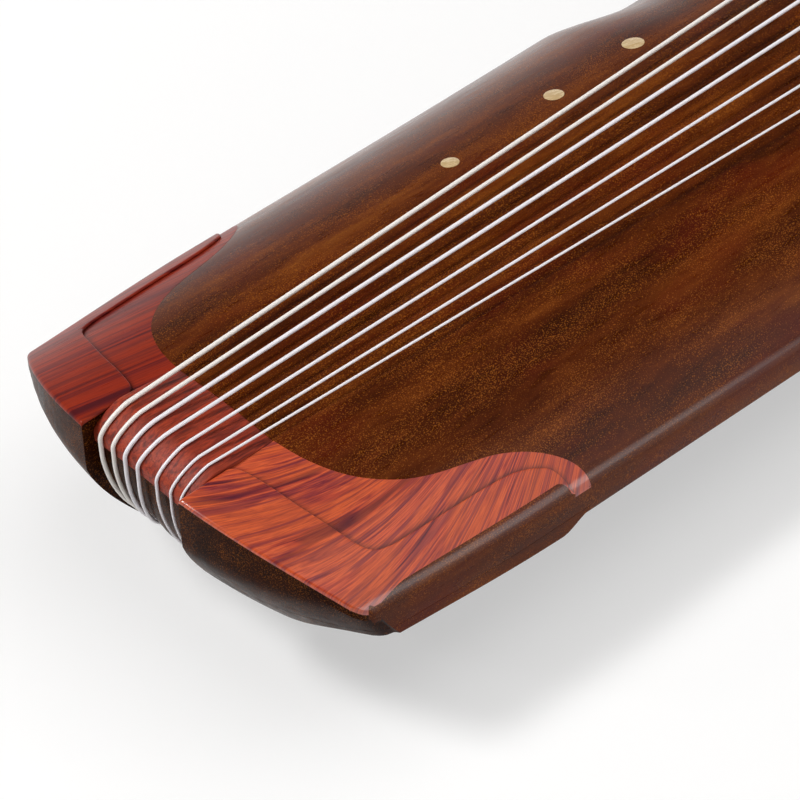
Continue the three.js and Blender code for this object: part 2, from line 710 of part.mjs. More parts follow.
function bridge() {
  const shares = [0.2, 0.4, 0.6, 0.74, 0.85, 0.91, 0.96, 1];
  const ys = [...shares.map((u) => -u).reverse(), 0, ...shares].map((u) => u * bridgeHalfLength);
  const x1 = bridgeX + bridgeThickness;
  const lead = new THREE.Vector2(bridgeX + bridgeTopRadius, -bridgeTopRadius);
  return loft(ys.map((y) => {
    const top = [...arc(lead, bridgeTopRadius, 180, 80, 4), new THREE.Vector2(x1 - bridgeTopFall, -bridgeTopFall / 2),
      new THREE.Vector2(x1, -bridgeTopFall)];
    const upper = top.map((p) => new THREE.Vector3(p.x, y, bridgeTop(y) + p.y));
    const base = boardTop(bridgeX, y) - inlayDepth;
    return [new THREE.Vector3(bridgeX, y, base), ...upper, new THREE.Vector3(x1, y, base)];
  }));
}

// Flush strip behind the bridge, with the seven eyes that the cords come up through
function pegHoleStrip() {
  const ys = acrossShares.map((u) => u * halfWidth(holeX)).filter((y) => Math.abs(y) < bridgeHalfLength);
  const places = [-bridgeHalfLength, ...ys, bridgeHalfLength];
  const x0 = stripStart;
  const x1 = x0 + stripWidth;
  let strip = loft(places.map((y) => {
    const top = boardTop(bridgeX, y);
    const base = top - inlayDepth;
    return [[x0, base], [x0, top], [x1, top], [x1, base]].map(([x, z]) => new THREE.Vector3(x, y, z));
  }));
  for (let i = 0; i < stringCount; i++) {
    strip = strip.subtract(cylinder(holeX, bridgeY(i), deep, tall, eyeRadius));
  }
  return strip;
}

// Level of each string's first turn on its foot; the four thick strings share the far foot
const footTop = underside(footX + footCollarHalf) - glueGap;
const footNeckTop = footTop - footCollarHeight;
const turnPitch = (i) => stringDiameters[i] + windingGap;
function firstTurnLevel(i) {
  const first = i < farFootStrings ? 0 : farFootStrings;
  let level = footNeckTop - firstTurnDrop;
  for (let k = first; k < i; k++) {
    level -= turnPitch(k) * windingTurns + (turnPitch(k) + turnPitch(k + 1)) / 2;
  }
  return level;
}

// Crown of the soundboard above the table: room for the turns on the feet, and for the pegs
const pegTop = underside(holeX) + poolDepth - glueGap;
const lowestTurn = Math.min(...stringDiameters.map((_, i) => firstTurnLevel(i) - turnPitch(i) * windingTurns));
const feetNeed = turnsAboveSole + footFlare + footSoleHeight - lowestTurn;
const pegsNeed = pegLength + pegsAboveTable - pegTop;
const standHeight = Math.max(feetNeed, pegsNeed);

// Goose foot: tenon, collar, round neck that the strings are wound on, and a square sole
function gooseFoot(side) {
  const y = side * footAtY;
  const ring = (half, radius, z) => atHeight(roundedRectangle(footX, y, half, half, radius), z);
  const soft = footTenonHalf / 4;
  return loft([
    ring(footTenonHalf, soft, underside(footX) + tenonDepth),
    ring(footTenonHalf, soft, footTop),
    ring(footCollarHalf, footCollarHalf / 2, footTop),
    ring(footCollarHalf, footCollarHalf / 2, footNeckTop),
    ring(footNeckRadius, footNeckRadius, footNeckTop - footCollarHeight / 4),
    ring(footNeckRadius, footNeckRadius, footSoleHeight + footFlare - standHeight),
    ring(footSoleHalf, footSoleHalf / 3, footSoleHeight - standHeight),
    ring(footSoleHalf, footSoleHalf / 3, footCollarHeight / 2 - standHeight),
    ring(footSoleHalf - footCollarHeight / 2, footSoleHalf / 3, -standHeight),
  ]);
}

function pegGuard(side) {
  const y = side * guardAtY;
  const halfX = guardLength / 2;
  const halfY = guardWidth / 2;
  const ring = (share, z) => {
    return atHeight(roundedRectangle(holeX, y, halfX * share, halfY * share, halfY * share * guardRoundShare), z);
  };
  const top = underside(holeX) - glueGap;
  return loft([
    ring(guardTenonShare, underside(holeX) + tenonDepth),
    ring(guardTenonShare, top),
    ring(1, top),
    ring(1, lerp(top, -standHeight, guardStraightShare)),
    ring(lerp(1, guardTaperShare, guardKneeTaperShare), lerp(top, -standHeight, guardKneeShare)),
    ring(guardTaperShare, -standHeight),
  ]);
}

// Eight-sided tuning peg, bored from above for its cord
function tuningPeg() {
  const outline = [
    [0, -pegLength],
    [pegEndRadius, -pegLength],
    [pegRimRadius, -pegLength * pegShares.rim],
    [pegBellyRadius, -pegLength * pegShares.bellyEnd],
    [pegBellyRadius, -pegLength * pegShares.bellyStart],
    [pegWaistRadius, -pegLength * pegShares.waist],
    [pegHeadRadius, -pegLength * pegShares.head],
    [pegHeadRadius, 0],
    [eyeRadius, 0],
    [eyeRadius, -pegBoreDepth],
    [0, -pegBoreDepth],
  ];
  const geometry = new THREE.LatheGeometry(outline.map(([r, z]) => new THREE.Vector2(r, z)), pegSides);
  geometry.rotateX(Math.PI / 2);
  return solid(geometry);
}

// Silk loop: up from the peg's bore, round the string behind its knot, and down again
function knotCentre(i) {
  const reach = 2 * (cordRadius + cordLoopGap) + knotRadius + cordLoopGap;
  return new THREE.Vector3(bridgeX + bridgeThickness + reach, bridgeY(i), bridgeTop(bridgeY(i)) - knotDip);
}

function tuningCord(i) {
  const knot = knotCentre(i);
  const y = bridgeY(i);
  const around = stringDiameters[i] / 2 + cordRadius + cordLoopGap;
  const loopX = knot.x - knotRadius - cordRadius - cordLoopGap;
  const loopZ = knot.z + knotDip / 3;
  const rise = boardTop(bridgeX, y) + cordRadius * 2;
  const half = [];
  half.push([holeX, cordSpread, pegTop - cordDepthInPeg]);
  half.push([holeX, cordSpread, rise]);
  half.push([lerp(loopX, holeX, cordTurnShare), lerp(around, cordSpread, cordCloseShare), loopZ - around * 2]);
  for (const angle of [0, 45]) {
    const turn = degToRad(angle);
    half.push([loopX, around * Math.cos(turn), loopZ + around * Math.sin(turn)]);
  }
  const up = half.map(([x, dy, z]) => new THREE.Vector3(x, y + dy, z));
  const down = half.map(([x, dy, z]) => new THREE.Vector3(x, y - dy, z)).reverse();
  return tube([...up, new THREE.Vector3(loopX, y, loopZ + around), ...down], cordRadius);
}

function footWinding(i) {
  const side = i < farFootStrings ? 1 : -1;
  const radius = footNeckRadius + stringDiameters[i] / 2 + glueGap;
  const points = [];
  const steps = Math.round(windingTurns * windingSteps);
  for (let k = 0; k <= steps; k++) {
    const turned = k / windingSteps;
    const angle = side * (turned * 2 * Math.PI - Math.PI / 2);
    const x = footX + radius * Math.cos(angle);
    const y = side * footAtY + radius * Math.sin(angle);
    points.push(new THREE.Vector3(x, y, firstTurnLevel(i) - turnPitch(i) * turned));
  }
  return points;
}

// A string: knot, bridge, tail nut, down the recess, under the body, and round its foot
function stringRoute(i) {
  const off = stringDiameters[i] / 2 + glueGap;
  const yBridge = bridgeY(i);
  const yTail = tailY(i);
  const yEdge = firstStringAtTail * edgePlaceShares[i];
  const yKeel = firstStringAtTail * keelPlaceShares[i];
  const upright = (points, y) => points.map((p) => new THREE.Vector3(p.x, y, p.y));
  const lead = new THREE.Vector2(bridgeX + bridgeTopRadius, bridgeTop(yBridge) - bridgeTopRadius);
  const fall = boardTop(0, yTail) - crownLine(0);
  const ridge = new THREE.Vector2(ridgeCentre.x, ridgeCentre.y + fall);
  const edge = new THREE.Vector2(edgeCentre.x, edgeCentre.y + fall);
  // down the support's face the strings draw together into two bundles
  const faceArc = arc(supportCentre, supportCurve + supportSetBack + off, 188, 268, 6, supportDrop + off);
  const face = faceArc.map((p, k) => {
    const drawn = ((k + 1) / faceArc.length) ** stringDrawPower;
    return new THREE.Vector3(p.x, lerp(yEdge, yKeel, drawn), p.y);
  });
  return [
    knotCentre(i),
    ...upright(arc(lead, bridgeTopRadius + off, 75, 96, 2), yBridge),
    ...upright(arc(ridge, ridgeRadius + off, 90, frontNormal, 3), yTail),
    ...upright(arc(edge, nutEdgeRadius + off, frontNormal, 180, 4), yEdge),
    ...face,
    ...footWinding(i),
  ];
}

function musicString(i) {
  const radius = stringDiameters[i] / 2;
  const ball = new THREE.IcosahedronGeometry(knotRadius, 1);
  const knot = knotCentre(i);
  ball.translate(knot.x, knot.y, knot.z);
  return tube(stringRoute(i), radius).add(solid(ball));
}

// Least gap between turns of one winding, measured on its points
function leastTurnGap(i) {
  const points = footWinding(i);
  let least = Infinity;
  for (let a = 0; a < points.length; a++) {
    for (let b = a + windingSteps / 2; b < points.length; b++) {
      least = Math.min(least, points[a].distanceTo(points[b]) - stringDiameters[i]);
    }
  }
  return least;
}

// Sound posts stand between the bottom board and the underside of the soundboard
function postSpan(x) {
  const flatHalf = chamberPostShare * (halfWidth(x) - sideWall);
  return { low: seam(x + postHalf), high: ceiling(x, flatHalf) - glueGap };
}

function roundPost() {
  const x = vibratingLength * longHole.startShare + longHole.length + padMargin + roundPostFromPad + postHalf;
  const { low, high } = postSpan(x);
  return cylinder(x, 0, low, high, postHalf);
}

function squarePost() {
  const x = vibratingLength * longHole.startShare - padMargin - squarePostFromPad - postHalf;
  const { low, high } = postSpan(x);
  return box(x - postHalf, x + postHalf, -postHalf, postHalf, low, high);
}

// Colours, roughness and metalness of the finished pieces
const finishes = {
  lacquer: { color: 0x3c2114, roughness: 0.35, metalness: 0 },
  darkLacquer: { color: 0x23150e, roughness: 0.35, metalness: 0 },
  redRosewood: { color: 0x9c3522, roughness: 0.25, metalness: 0 },
  rosewood: { color: 0x6b2a1e, roughness: 0.3, metalness: 0 },
  string: { color: 0xe6e0e0, roughness: 0.3, metalness: 0.1 },
  cord: { color: 0x5b4a34, roughness: 0.9, metalness: 0 },
  pearl: { color: 0xcdb07d, roughness: 0.3, metalness: 0.2 },
  paleWood: { color: 0xb08a5c, roughness: 0.8, metalness: 0 },
};

const instrument = new THREE.Group();

function addPiece(name, geometry, finish) {
  const mesh = new THREE.Mesh(geometry, new THREE.MeshStandardMaterial(finishes[finish]));
  mesh.name = name;
  instrument.add(mesh);
  return mesh;
}

addPiece('soundboard', geometryOf(soundboard()), 'lacquer');
addPiece('bottom_board', geometryOf(bottomBoard()), 'darkLacquer');
for (const [word, side] of [['far', 1], ['near', -1]]) {
  addPiece(`crown_corner_${word}`, geometryOf(tailCorner(side)), 'redRosewood');
  addPiece(`lower_crown_${word}`, geometryOf(lowerCorner(side)), 'darkLacquer');
  addPiece(`goose_foot_${word}`, geometryOf(gooseFoot(side)), 'rosewood');
  addPiece(`peg_guard_${word}`, geometryOf(pegGuard(side)), 'rosewood');
}
addPiece('tail_nut', geometryOf(tailNut()), 'redRosewood');
addPiece('tail_nut_support', geometryOf(tailNutSupport()), 'darkLacquer');
addPiece('bridge', geometryOf(bridge()), 'rosewood');
addPiece('peg_hole_strip', geometryOf(pegHoleStrip()), 'rosewood');
addPiece('sound_post_round', geometryOf(roundPost()), 'paleWood');
addPiece('sound_post_square', geometryOf(squarePost()), 'paleWood');

for (let i = 0; i < stringCount; i++) {
  addPiece(`string_${i + 1}`, geometryOf(musicString(i)), 'string');
  addPiece(`tuning_cord_${i + 1}`, geometryOf(tuningCord(i)), 'cord');
  const peg = addPiece(`tuning_peg_${i + 1}`, geometryOf(tuningPeg()), 'rosewood');
  peg.position.set(holeX, bridgeY(i), pegTop);
}

for (let i = 0; i < markerShares.length; i++) {
  const { radius, turn, normal, point } = markerSeat(i);
  const disc = new THREE.CylinderGeometry(radius, radius, markerThickness, 12);
  const marker = addPiece(`marker_${String(i + 1).padStart(2, '0')}`, disc, 'pearl');
  marker.quaternion.copy(turn);
  marker.position.copy(point).addScaledVector(normal, -markerThickness / 2);
}

const gaps = stringDiameters.map((_, i) => leastTurnGap(i));
console.log('least gap between the turns of a winding, mm:', Math.min(...gaps).toFixed(3));

// Feet on the ground, the middle of the whole over the origin
const extent = new THREE.Box3().setFromObject(instrument);
instrument.position.set(-(extent.min.x + extent.max.x) / 2, 0, standHeight);

const group = new THREE.Group();
group.add(instrument);
export default group;
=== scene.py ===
# Guqin, a seven-string zither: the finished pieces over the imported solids.
# Shapes are worked out in millimetres in the maker's drawing frame: x runs from the ridge of the
# tail nut to the head, y to the far side, and z up from the crown of the soundboard.
import math
import bpy
import bmesh
from mathutils import Matrix, Vector


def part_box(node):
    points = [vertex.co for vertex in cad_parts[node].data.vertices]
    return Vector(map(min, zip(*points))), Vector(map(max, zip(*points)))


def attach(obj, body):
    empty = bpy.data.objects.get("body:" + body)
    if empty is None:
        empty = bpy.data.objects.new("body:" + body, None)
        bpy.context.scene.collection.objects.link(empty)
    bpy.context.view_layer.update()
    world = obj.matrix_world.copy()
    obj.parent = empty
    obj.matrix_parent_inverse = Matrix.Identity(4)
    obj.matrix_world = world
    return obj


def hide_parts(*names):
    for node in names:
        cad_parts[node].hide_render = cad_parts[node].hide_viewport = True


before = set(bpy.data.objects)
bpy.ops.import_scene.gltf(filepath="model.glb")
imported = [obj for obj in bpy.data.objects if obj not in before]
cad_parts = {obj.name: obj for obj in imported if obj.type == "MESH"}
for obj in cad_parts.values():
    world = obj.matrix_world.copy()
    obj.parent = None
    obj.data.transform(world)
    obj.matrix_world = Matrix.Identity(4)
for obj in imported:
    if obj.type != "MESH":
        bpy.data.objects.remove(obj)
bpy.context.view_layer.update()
print("frame loaded:", len(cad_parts), "solids")

mm = 0.001
clearance = 0.3  # left round each piece that is let in, in millimetres

# Sizes of the body, in millimetres
body = {
    "vibratingLength": 1120,
    "headBeyondBridge": 88,
    "tailOverhang": 14.8,
    "tailHalfWidth": 74.1,
    "shoulderHalfWidth": 97.5,
    "neckHalfWidth": 80,
    "headHalfWidth": 84.5,
    "waistDepth": 8,
    "cornerSetIn": 2.9,
    "setInRun": 70.4,
    "waistStart": 224,
    "waistEnd": 448,
    "waistCurve": 34,
    "shoulderStart": 896,
    "shoulderCurve": 52,
    "shoulderEase": 20,
    "headLead": 26,
    "headCurve": 14,
    "headCornerRadius": 7,
    "tailEdgeDrop": 20.6,
    "waistEdgeDrop": 25.2,
    "shoulderEdgeDrop": 27.5,
    "headEdgeDrop": 22,
    "dropSettles": 179.2,
    "dropEase": 0.3,
    "archSquareShare": 0.5,
    "lowHeadStart": 840,
    "lowHead": 5,
    "tailThickness": 34.5,
    "thickness": 46,
    "bottomAtTail": 6.5,
    "bottomAtShoulder": 9,
    "edgeRadius": 2.5,
    "topThickness": 11,
    "topThinning": 3.5,
    "sideWall": 13,
    "chamberStart": 96,
    "chamberEndLead": 62,
}
bridgeX = body["vibratingLength"]
headEnd = bridgeX + body["headBeyondBridge"]
headStart = bridgeX - body["headLead"]

# Tail end: the red corners, the recess between them and the end face
tail = {
    "cornerLength": 88,
    "recessHalfWidth": 20.5,
    "endSweep": 18.8,
    "endSweepAt": 70,
    "endSweepPower": 2.6,
    "endCornerRadius": 3,
    "endBevel": 1.1,
    "uprightDepth": 17,
    "faceDepth": 46.5,
    "faceReach": 17,
    "facePower": 1.35,
    "keelInnerDepth": 47,
    "keelEdgeDepth": 34.3,
    "keelInnerFall": 0.02,
    "keelEdgeFall": 0.05,
    "keelBowStart": 0.14,
    "keelBowEnd": 0.78,
    "keelEndRun": 11,
    "keelEndRise": 1.6,
    "blockEnd": 20,
    "lastStep": 0.6,
    "lowerCornerLetIn": 3,
    "rimHeight": 1.2,
    "cornerThickness": 4,
    "cornerEdgeThickness": 2,
    "coverDepth": 0.4,  # the board stands back this far under the red corners
    "coverStart": 1.5,
    "coverEnd": 4,
}
# Inner edge of a red corner and of its rim, as shares of the corner's length and the half width
cornerEdgeShares = [(0.228, 0.277), (0.25, 0.4), (0.296, 0.52), (0.36, 0.61), (0.45, 0.685), (0.55, 0.733),
                    (0.66, 0.765), (0.77, 0.8), (0.87, 0.855), (0.945, 0.92), (0.985, 0.98), (1, 1.06)]
rimEdgeShares = [(0.034, 0.277), (0.066, 0.315), (0.09, 0.42), (0.115, 0.56), (0.15, 0.69), (0.178, 0.775),
                 (0.21, 0.825), (0.27, 0.848), (0.36, 0.855), (0.5, 0.863), (0.66, 0.872), (0.77, 0.885),
                 (0.85, 0.915), (0.895, 0.955), (0.92, 1.06)]

# The drawing frame's place in the world, read from two of the solids
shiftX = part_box("bridge")[0].x / mm - bridgeX
shift = Vector((shiftX, 0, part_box("bottom_board")[0].z / mm + body["thickness"]))


def toWorld(point):
    return (Vector(point) + shift) * mm


def clamp(value, low=0.0, high=1.0):
    return max(low, min(high, value))


def lerp(a, b, share):
    return a + (b - a) * share


# Places from -half to half in even steps
def evenly(half, steps):
    return [lerp(-half, half, k / steps) for k in range(steps + 1)]


def smoothstep(value, low, high):
    share = clamp((value - low) / (high - low))
    return share * share * (3 - 2 * share)


def roundOver(share, radius):
    return radius * (1 - math.sqrt(1 - clamp(share) ** 2))  # fall of a quarter circle


def easedMin(value, limit, blend):
    gap = clamp((limit - value) / blend, -1, 1)  # a minimum whose corner is eased over 2 * blend
    return min(value, limit) - blend * (1 - abs(gap)) ** 2 / 4


# Outline in plan: half the width, with the waist, the shoulder, the neck and the head
def halfWidth(x):
    share = easedMin(x, body["shoulderStart"], body["shoulderEase"]) / body["shoulderStart"]
    width = lerp(body["tailHalfWidth"], body["shoulderHalfWidth"], share)
    width -= body["cornerSetIn"] * (1 - smoothstep(x, -body["tailOverhang"], body["setInRun"]))
    waistIn = smoothstep(x, body["waistStart"], body["waistStart"] + body["waistCurve"])
    waistOut = smoothstep(x, body["waistEnd"] - body["waistCurve"], body["waistEnd"])
    width -= body["waistDepth"] * waistIn * (1 - waistOut)
    neck = smoothstep(x, body["shoulderStart"], body["shoulderStart"] + body["shoulderCurve"])
    width -= (body["shoulderHalfWidth"] - body["neckHalfWidth"]) * neck
    head = smoothstep(x, headStart, headStart + body["headCurve"])
    width += (body["headHalfWidth"] - body["neckHalfWidth"]) * head
    radius = body["headCornerRadius"]
    return width - roundOver((x - (headEnd - radius)) / radius, radius)


# How far the arch falls from the crown to the board's edge
def edgeDrop(x):
    settled = easedMin(x / body["dropSettles"], 1, body["dropEase"])
    drop = lerp(body["tailEdgeDrop"], body["waistEdgeDrop"], settled)
    run = (x - body["dropSettles"]) / (body["shoulderStart"] - body["dropSettles"])
    drop += (body["shoulderEdgeDrop"] - body["waistEdgeDrop"]) * clamp(run)
    towardsHead = smoothstep(x, body["shoulderStart"], headStart)
    return drop + (body["headEdgeDrop"] - body["shoulderEdgeDrop"]) * towardsHead


# Height of the crown, which dips towards the bridge
def crownLine(x):
    run = clamp((x - body["lowHeadStart"]) / (bridgeX - body["lowHeadStart"]))
    return -body["lowHead"] * run * run


# Top of the soundboard: an arch, rounded over at its edge
def boardTop(x, y):
    width = halfWidth(x)
    u = min(abs(y) / width, 1)
    square = body["archSquareShare"]
    arch = square * u * u + (1 - square) * u ** 4
    radius = body["edgeRadius"]
    return crownLine(x) - edgeDrop(x) * arch - roundOver((abs(y) - (width - radius)) / radius, radius)


# The three surfaces below it: the under face, the seam of the boards and the roof of the chamber
def underside(x):
    return -lerp(body["tailThickness"], body["thickness"], clamp(x / body["shoulderStart"]))


def seam(x):
    share = clamp(x / body["shoulderStart"])
    return underside(x) + lerp(body["bottomAtTail"], body["bottomAtShoulder"], share)


def ceiling(x, y):
    u = abs(y) / halfWidth(x)
    return boardTop(x, y) - body["topThickness"] + body["topThinning"] * u * u


# The tail's end in plan, swept back towards the sides
def endEdge(y):
    sweep = tail["endSweep"] * (abs(y) / tail["endSweepAt"]) ** tail["endSweepPower"]
    radius = tail["endCornerRadius"]
    return sweep - body["tailOverhang"] + roundOver((abs(y) - (halfWidth(0) - radius)) / radius, radius)


# Lower down the end leans in towards the head
def endFace(y, z):
    run = max((-tail["uprightDepth"] - z) / (tail["faceDepth"] - tail["uprightDepth"]), 0)
    return endEdge(y) + tail["faceReach"] * run ** tail["facePower"]


# Under face of a lower corner, bowed between its edge and the recess
def keel(x, y):
    width = halfWidth(x)
    share = clamp((width - abs(y)) / (width - tail["recessHalfWidth"]))
    run = max(x, 0)
    edge = -tail["keelEdgeDepth"] - tail["keelEdgeFall"] * run
    fading = smoothstep(x, tail["cornerLength"] - tail["keelEndRun"], tail["cornerLength"])
    edge = lerp(edge, underside(x) + tail["keelEndRise"], fading)
    inner = -tail["keelInnerDepth"] - tail["keelInnerFall"] * run
    return lerp(edge, inner, smoothstep(share, tail["keelBowStart"], tail["keelBowEnd"]))


# A smooth curve through points, several steps for each span
def smoothCurve(points, steps=5):
    curve = []
    for i in range(len(points) - 1):
        p0, p1 = Vector(points[max(i - 1, 0)]), Vector(points[i])
        p2, p3 = Vector(points[i + 1]), Vector(points[min(i + 2, len(points) - 1)])
        for k in range(steps):
            t = k / steps
            curve.append(0.5 * ((2 * p1) + (p2 - p0) * t + (2 * p0 - 5 * p1 + 4 * p2 - p3) * t * t
                                + (3 * p1 - p0 - 3 * p2 + p3) * t ** 3))
    return curve + [Vector(points[-1])]


# A curve in plan from shares of the corner
def edgeCurve(shares):
    return smoothCurve([(u * tail["cornerLength"], v * body["tailHalfWidth"]) for u, v in shares])


cornerCurve = edgeCurve(cornerEdgeShares)
rimCurve = edgeCurve(rimEdgeShares)


# Distance from a curve in plan, positive on the side of the tail's end
def insideCurve(curve, x, y):
    spot = Vector((x, abs(y)))
    best, sign = 1e9, 1
    for a, b in zip(curve, curve[1:]):
        run = b - a
        away = spot - a
        share = clamp(away.dot(run) / run.length_squared)
        gap = (away - run * share).length
        if gap < best - 1e-9:
            best = gap
            sign = 1 if run.x * away.y - run.y * away.x > 0 else -1
    return best * sign


# Where the curve is, at a share of the way across from the recess to the side
def curveAcross(curve):
    inner = tail["recessHalfWidth"]
    return [((p.y - inner) / (halfWidth(p.x) - inner), p.x) for p in curve]


cornerAcross = curveAcross(cornerCurve)


def cornerInnerX(share):
    if share <= cornerAcross[0][0]:
        return cornerAcross[0][1]
    for (w0, x0), (w1, x1) in zip(cornerAcross, cornerAcross[1:]):
        if share <= w1:
            return lerp(x0, x1, (share - w0) / (w1 - w0))
    return cornerAcross[-1][1]


# How far the soundboard lies below its own surface where a red corner covers it
def sunkUnder(x, y):
    if x > tail["cornerLength"] or abs(y) < tail["recessHalfWidth"]:
        return 0
    inside = insideCurve(cornerCurve, x, y)
    return tail["coverDepth"] * smoothstep(inside, tail["coverStart"], tail["coverEnd"])


# A shape is a list of points and faces, with the paint of each face and its two pattern coordinates
def newShape():
    return {"points": [], "faces": [], "paint": [], "uvs": []}


# Faces between rows of points; paint and uvs may be worked out for each face
def addGrid(shape, rows, paint=0, closed=False, uvs=None):
    base = len(shape["points"])
    count = len(rows[0])
    for row in rows:
        shape["points"] += [Vector(p) for p in row]
    for i in range(len(rows) - 1):
        for j in range(count if closed else count - 1):
            k = (j + 1) % count
            corners = [(i, j), (i, k), (i + 1, k), (i + 1, j)]
            shape["faces"].append([base + r * count + c for r, c in corners])
            shape["paint"].append(paint(i, j) if callable(paint) else paint)
            pattern = [(0, 0)] * 4
            if uvs:
                pattern = [uvs(r, j + 1 if c == k else j) for r, c in corners]
            shape["uvs"].append(pattern)


def addCap(shape, ring, paint=0):
    base = len(shape["points"])
    shape["points"] += [Vector(p) for p in ring]
    shape["faces"].append(list(range(base, base + len(ring))))
    shape["paint"].append(paint)
    shape["uvs"].append([(0, 0)] * len(ring))


def addLoft(shape, rings, paint=0, uvs=None, caps=True, capPaint=0):
    addGrid(shape, rings, paint, True, uvs)
    if caps:
        addCap(shape, rings[0], capPaint)
        addCap(shape, rings[-1], capPaint)


# The six sides of a block given by place(s, w, t); paints name the sides that aren't painted 0
def addBlock(shape, place, ss, ws, ts, paints=None):
    paints = paints or {}
    sides = {
        "top": [[place(s, w, ts[0]) for w in ws] for s in ss],
        "bottom": [[place(s, w, ts[-1]) for w in ws] for s in ss],
        "end": [[place(ss[0], w, t) for w in ws] for t in ts],
        "head": [[place(ss[-1], w, t) for w in ws] for t in ts],
        "recess": [[place(s, ws[0], t) for s in ss] for t in ts],
        "outer": [[place(s, ws[-1], t) for s in ss] for t in ts],
    }
    for side, rows in sides.items():
        addGrid(shape, rows, paints.get(side, 0))


# Points of an arc in an upright plane, in degrees
def arc(cx, cz, radius, fromAngle, toAngle, steps, uprightRadius=None):
    points = []
    for k in range(steps + 1):
        angle = math.radians(lerp(fromAngle, toAngle, k / steps))
        points.append((cx + radius * math.cos(angle), cz + (uprightRadius or radius) * math.sin(angle)))
    return points


# A tube along points, its rings carried along without a twist; v runs in millimetres
def addTube(shape, points, radius, sides=12, closed=False):
    points = [Vector(p) for p in points]
    count = len(points)
    across = Vector((0, 0, 1))
    rings, lengths = [], [0]
    for i, p in enumerate(points):
        before = points[i - 1] if i or closed else p
        after = points[(i + 1) % count] if i < count - 1 or closed else p
        along = (after - before).normalized()
        if abs(across.dot(along)) > 0.95:
            across = Vector((0, 1, 0))
        across = (across - along * across.dot(along)).normalized()
        side = along.cross(across)
        turns = [2 * math.pi * k / sides for k in range(sides)]
        rings.append([p + (across * math.cos(a) + side * math.sin(a)) * radius for a in turns])
        if i:
            lengths.append(lengths[-1] + (p - points[i - 1]).length)
    if closed:
        rings.append(rings[0])
        lengths.append(lengths[-1] + (points[0] - points[-1]).length)
    addLoft(shape, rings, 0, lambda r, c: (c / sides, lengths[r]), caps=not closed)


# Points of a rectangle with rounded corners, in plan
def roundedRectangle(x, y, halfX, halfY, radius, steps=8):
    points = []
    for corner, (sx, sy) in enumerate([(1, 1), (-1, 1), (-1, -1), (1, -1)]):
        for k in range(steps + 1):
            angle = (corner + k / steps) * math.pi / 2
            points.append((x + sx * (halfX - radius) + radius * math.cos(angle),
                           y + sy * (halfY - radius) + radius * math.sin(angle)))
    return points


def shade(mesh, sharpAngle):
    mesh.polygons.foreach_set("use_smooth", [True] * len(mesh.polygons))
    mesh.set_sharp_from_angle(angle=math.radians(sharpAngle))


samePoint = 1.5e-6  # points of a mesh that lie closer than this, in metres, are one


def buildMesh(name, shape, materials, sharpAngle=35):
    mesh = bpy.data.meshes.new(name)
    mesh.from_pydata([toWorld(p) for p in shape["points"]], [], shape["faces"])
    mesh.polygons.foreach_set("material_index", shape["paint"])
    layer = mesh.uv_layers.new(name="pattern")
    flat = [value for face in shape["uvs"] for uv in face for value in uv]
    layer.data.foreach_set("uv", flat)
    for material in materials:
        mesh.materials.append(material)
    work = bmesh.new()
    work.from_mesh(mesh)
    bmesh.ops.remove_doubles(work, verts=work.verts, dist=samePoint)
    bmesh.ops.recalc_face_normals(work, faces=work.faces)
    work.to_mesh(mesh)
    work.free()
    shade(mesh, sharpAngle)
    return mesh


# The drawing frame's place of a mesh's corner
def drawn(vertex):
    return vertex.co / mm - shift


# Gives each corner of a face its place in the grain
def setPattern(mesh, place):
    layer = mesh.uv_layers["pattern"]
    for loop in mesh.loops:
        layer.data[loop.index].uv = place(drawn(mesh.vertices[loop.vertex_index]))


# Keeps a value for each point, for the materials to read
def setShade(mesh, name, amount):
    layer = mesh.attributes.new(name, "FLOAT", "POINT")
    layer.data.foreach_set("value", [amount(drawn(v)) for v in mesh.vertices])


# One more shape in a piece's mesh, as an island of its own
def joinShape(piece, shape, materials):
    extra = buildMesh("extra", shape, materials)
    work = bmesh.new()
    work.from_mesh(piece.data)
    work.from_mesh(extra)
    work.to_mesh(piece.data)
    work.free()
    bpy.data.meshes.remove(extra)


# The visible piece of the solid or solids that it stands for
def addPiece(name, mesh, stands, carrier="instrument"):
    piece = bpy.data.objects.new(name, mesh)
    bpy.context.scene.collection.objects.link(piece)
    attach(piece, carrier)
    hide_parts(*([stands] if isinstance(stands, str) else stands))
    return piece


# A piece lofted through rings, named for its solid with a word on its finish
def addLofted(solid, finish, rings, material, carrier="instrument", sharpAngle=35):
    shape = newShape()
    addLoft(shape, rings)
    mesh = buildMesh(solid, shape, [material], sharpAngle)
    return addPiece(f"{solid}_{finish}", mesh, solid, carrier)


# A piece's mesh with its modifiers applied
def applied(piece, sharpAngle=35):
    scene = bpy.context.evaluated_depsgraph_get()
    mesh = bpy.data.meshes.new_from_object(piece.evaluated_get(scene))
    piece.modifiers.clear()
    piece.data = mesh
    shade(mesh, sharpAngle)


# Cuts a shape out of a piece, and paints the cut with the material
def cutAway(piece, cutter, material):
    tool = bpy.data.objects.new("cutter", buildMesh("cutter", cutter, [material]))
    bpy.context.scene.collection.objects.link(tool)
    cut = piece.modifiers.new("cut", "BOOLEAN")
    cut.operation, cut.solver, cut.object = "DIFFERENCE", "EXACT", tool
    applied(piece)
    bpy.data.objects.remove(tool)


# Rounds the edges that turn by more than 32 degrees
def softenEdges(piece, width, segments=3, sharpAngle=35):
    bevel = piece.modifiers.new("bevel", "BEVEL")
    bevel.width, bevel.segments = width * mm, segments
    bevel.limit_method, bevel.angle_limit = "ANGLE", math.radians(32)
    bevel.harden_normals = False
    applied(piece, sharpAngle)


# Camera: the view of the photograph, found from the outline of the tail
view = {"place": (-950.384, -473.801, 638.392), "yaw": 0.747954, "pitch": 0.757567, "roll": -0.0134633,
        "lens": 135, "sensor": 36, "farthest": 50}


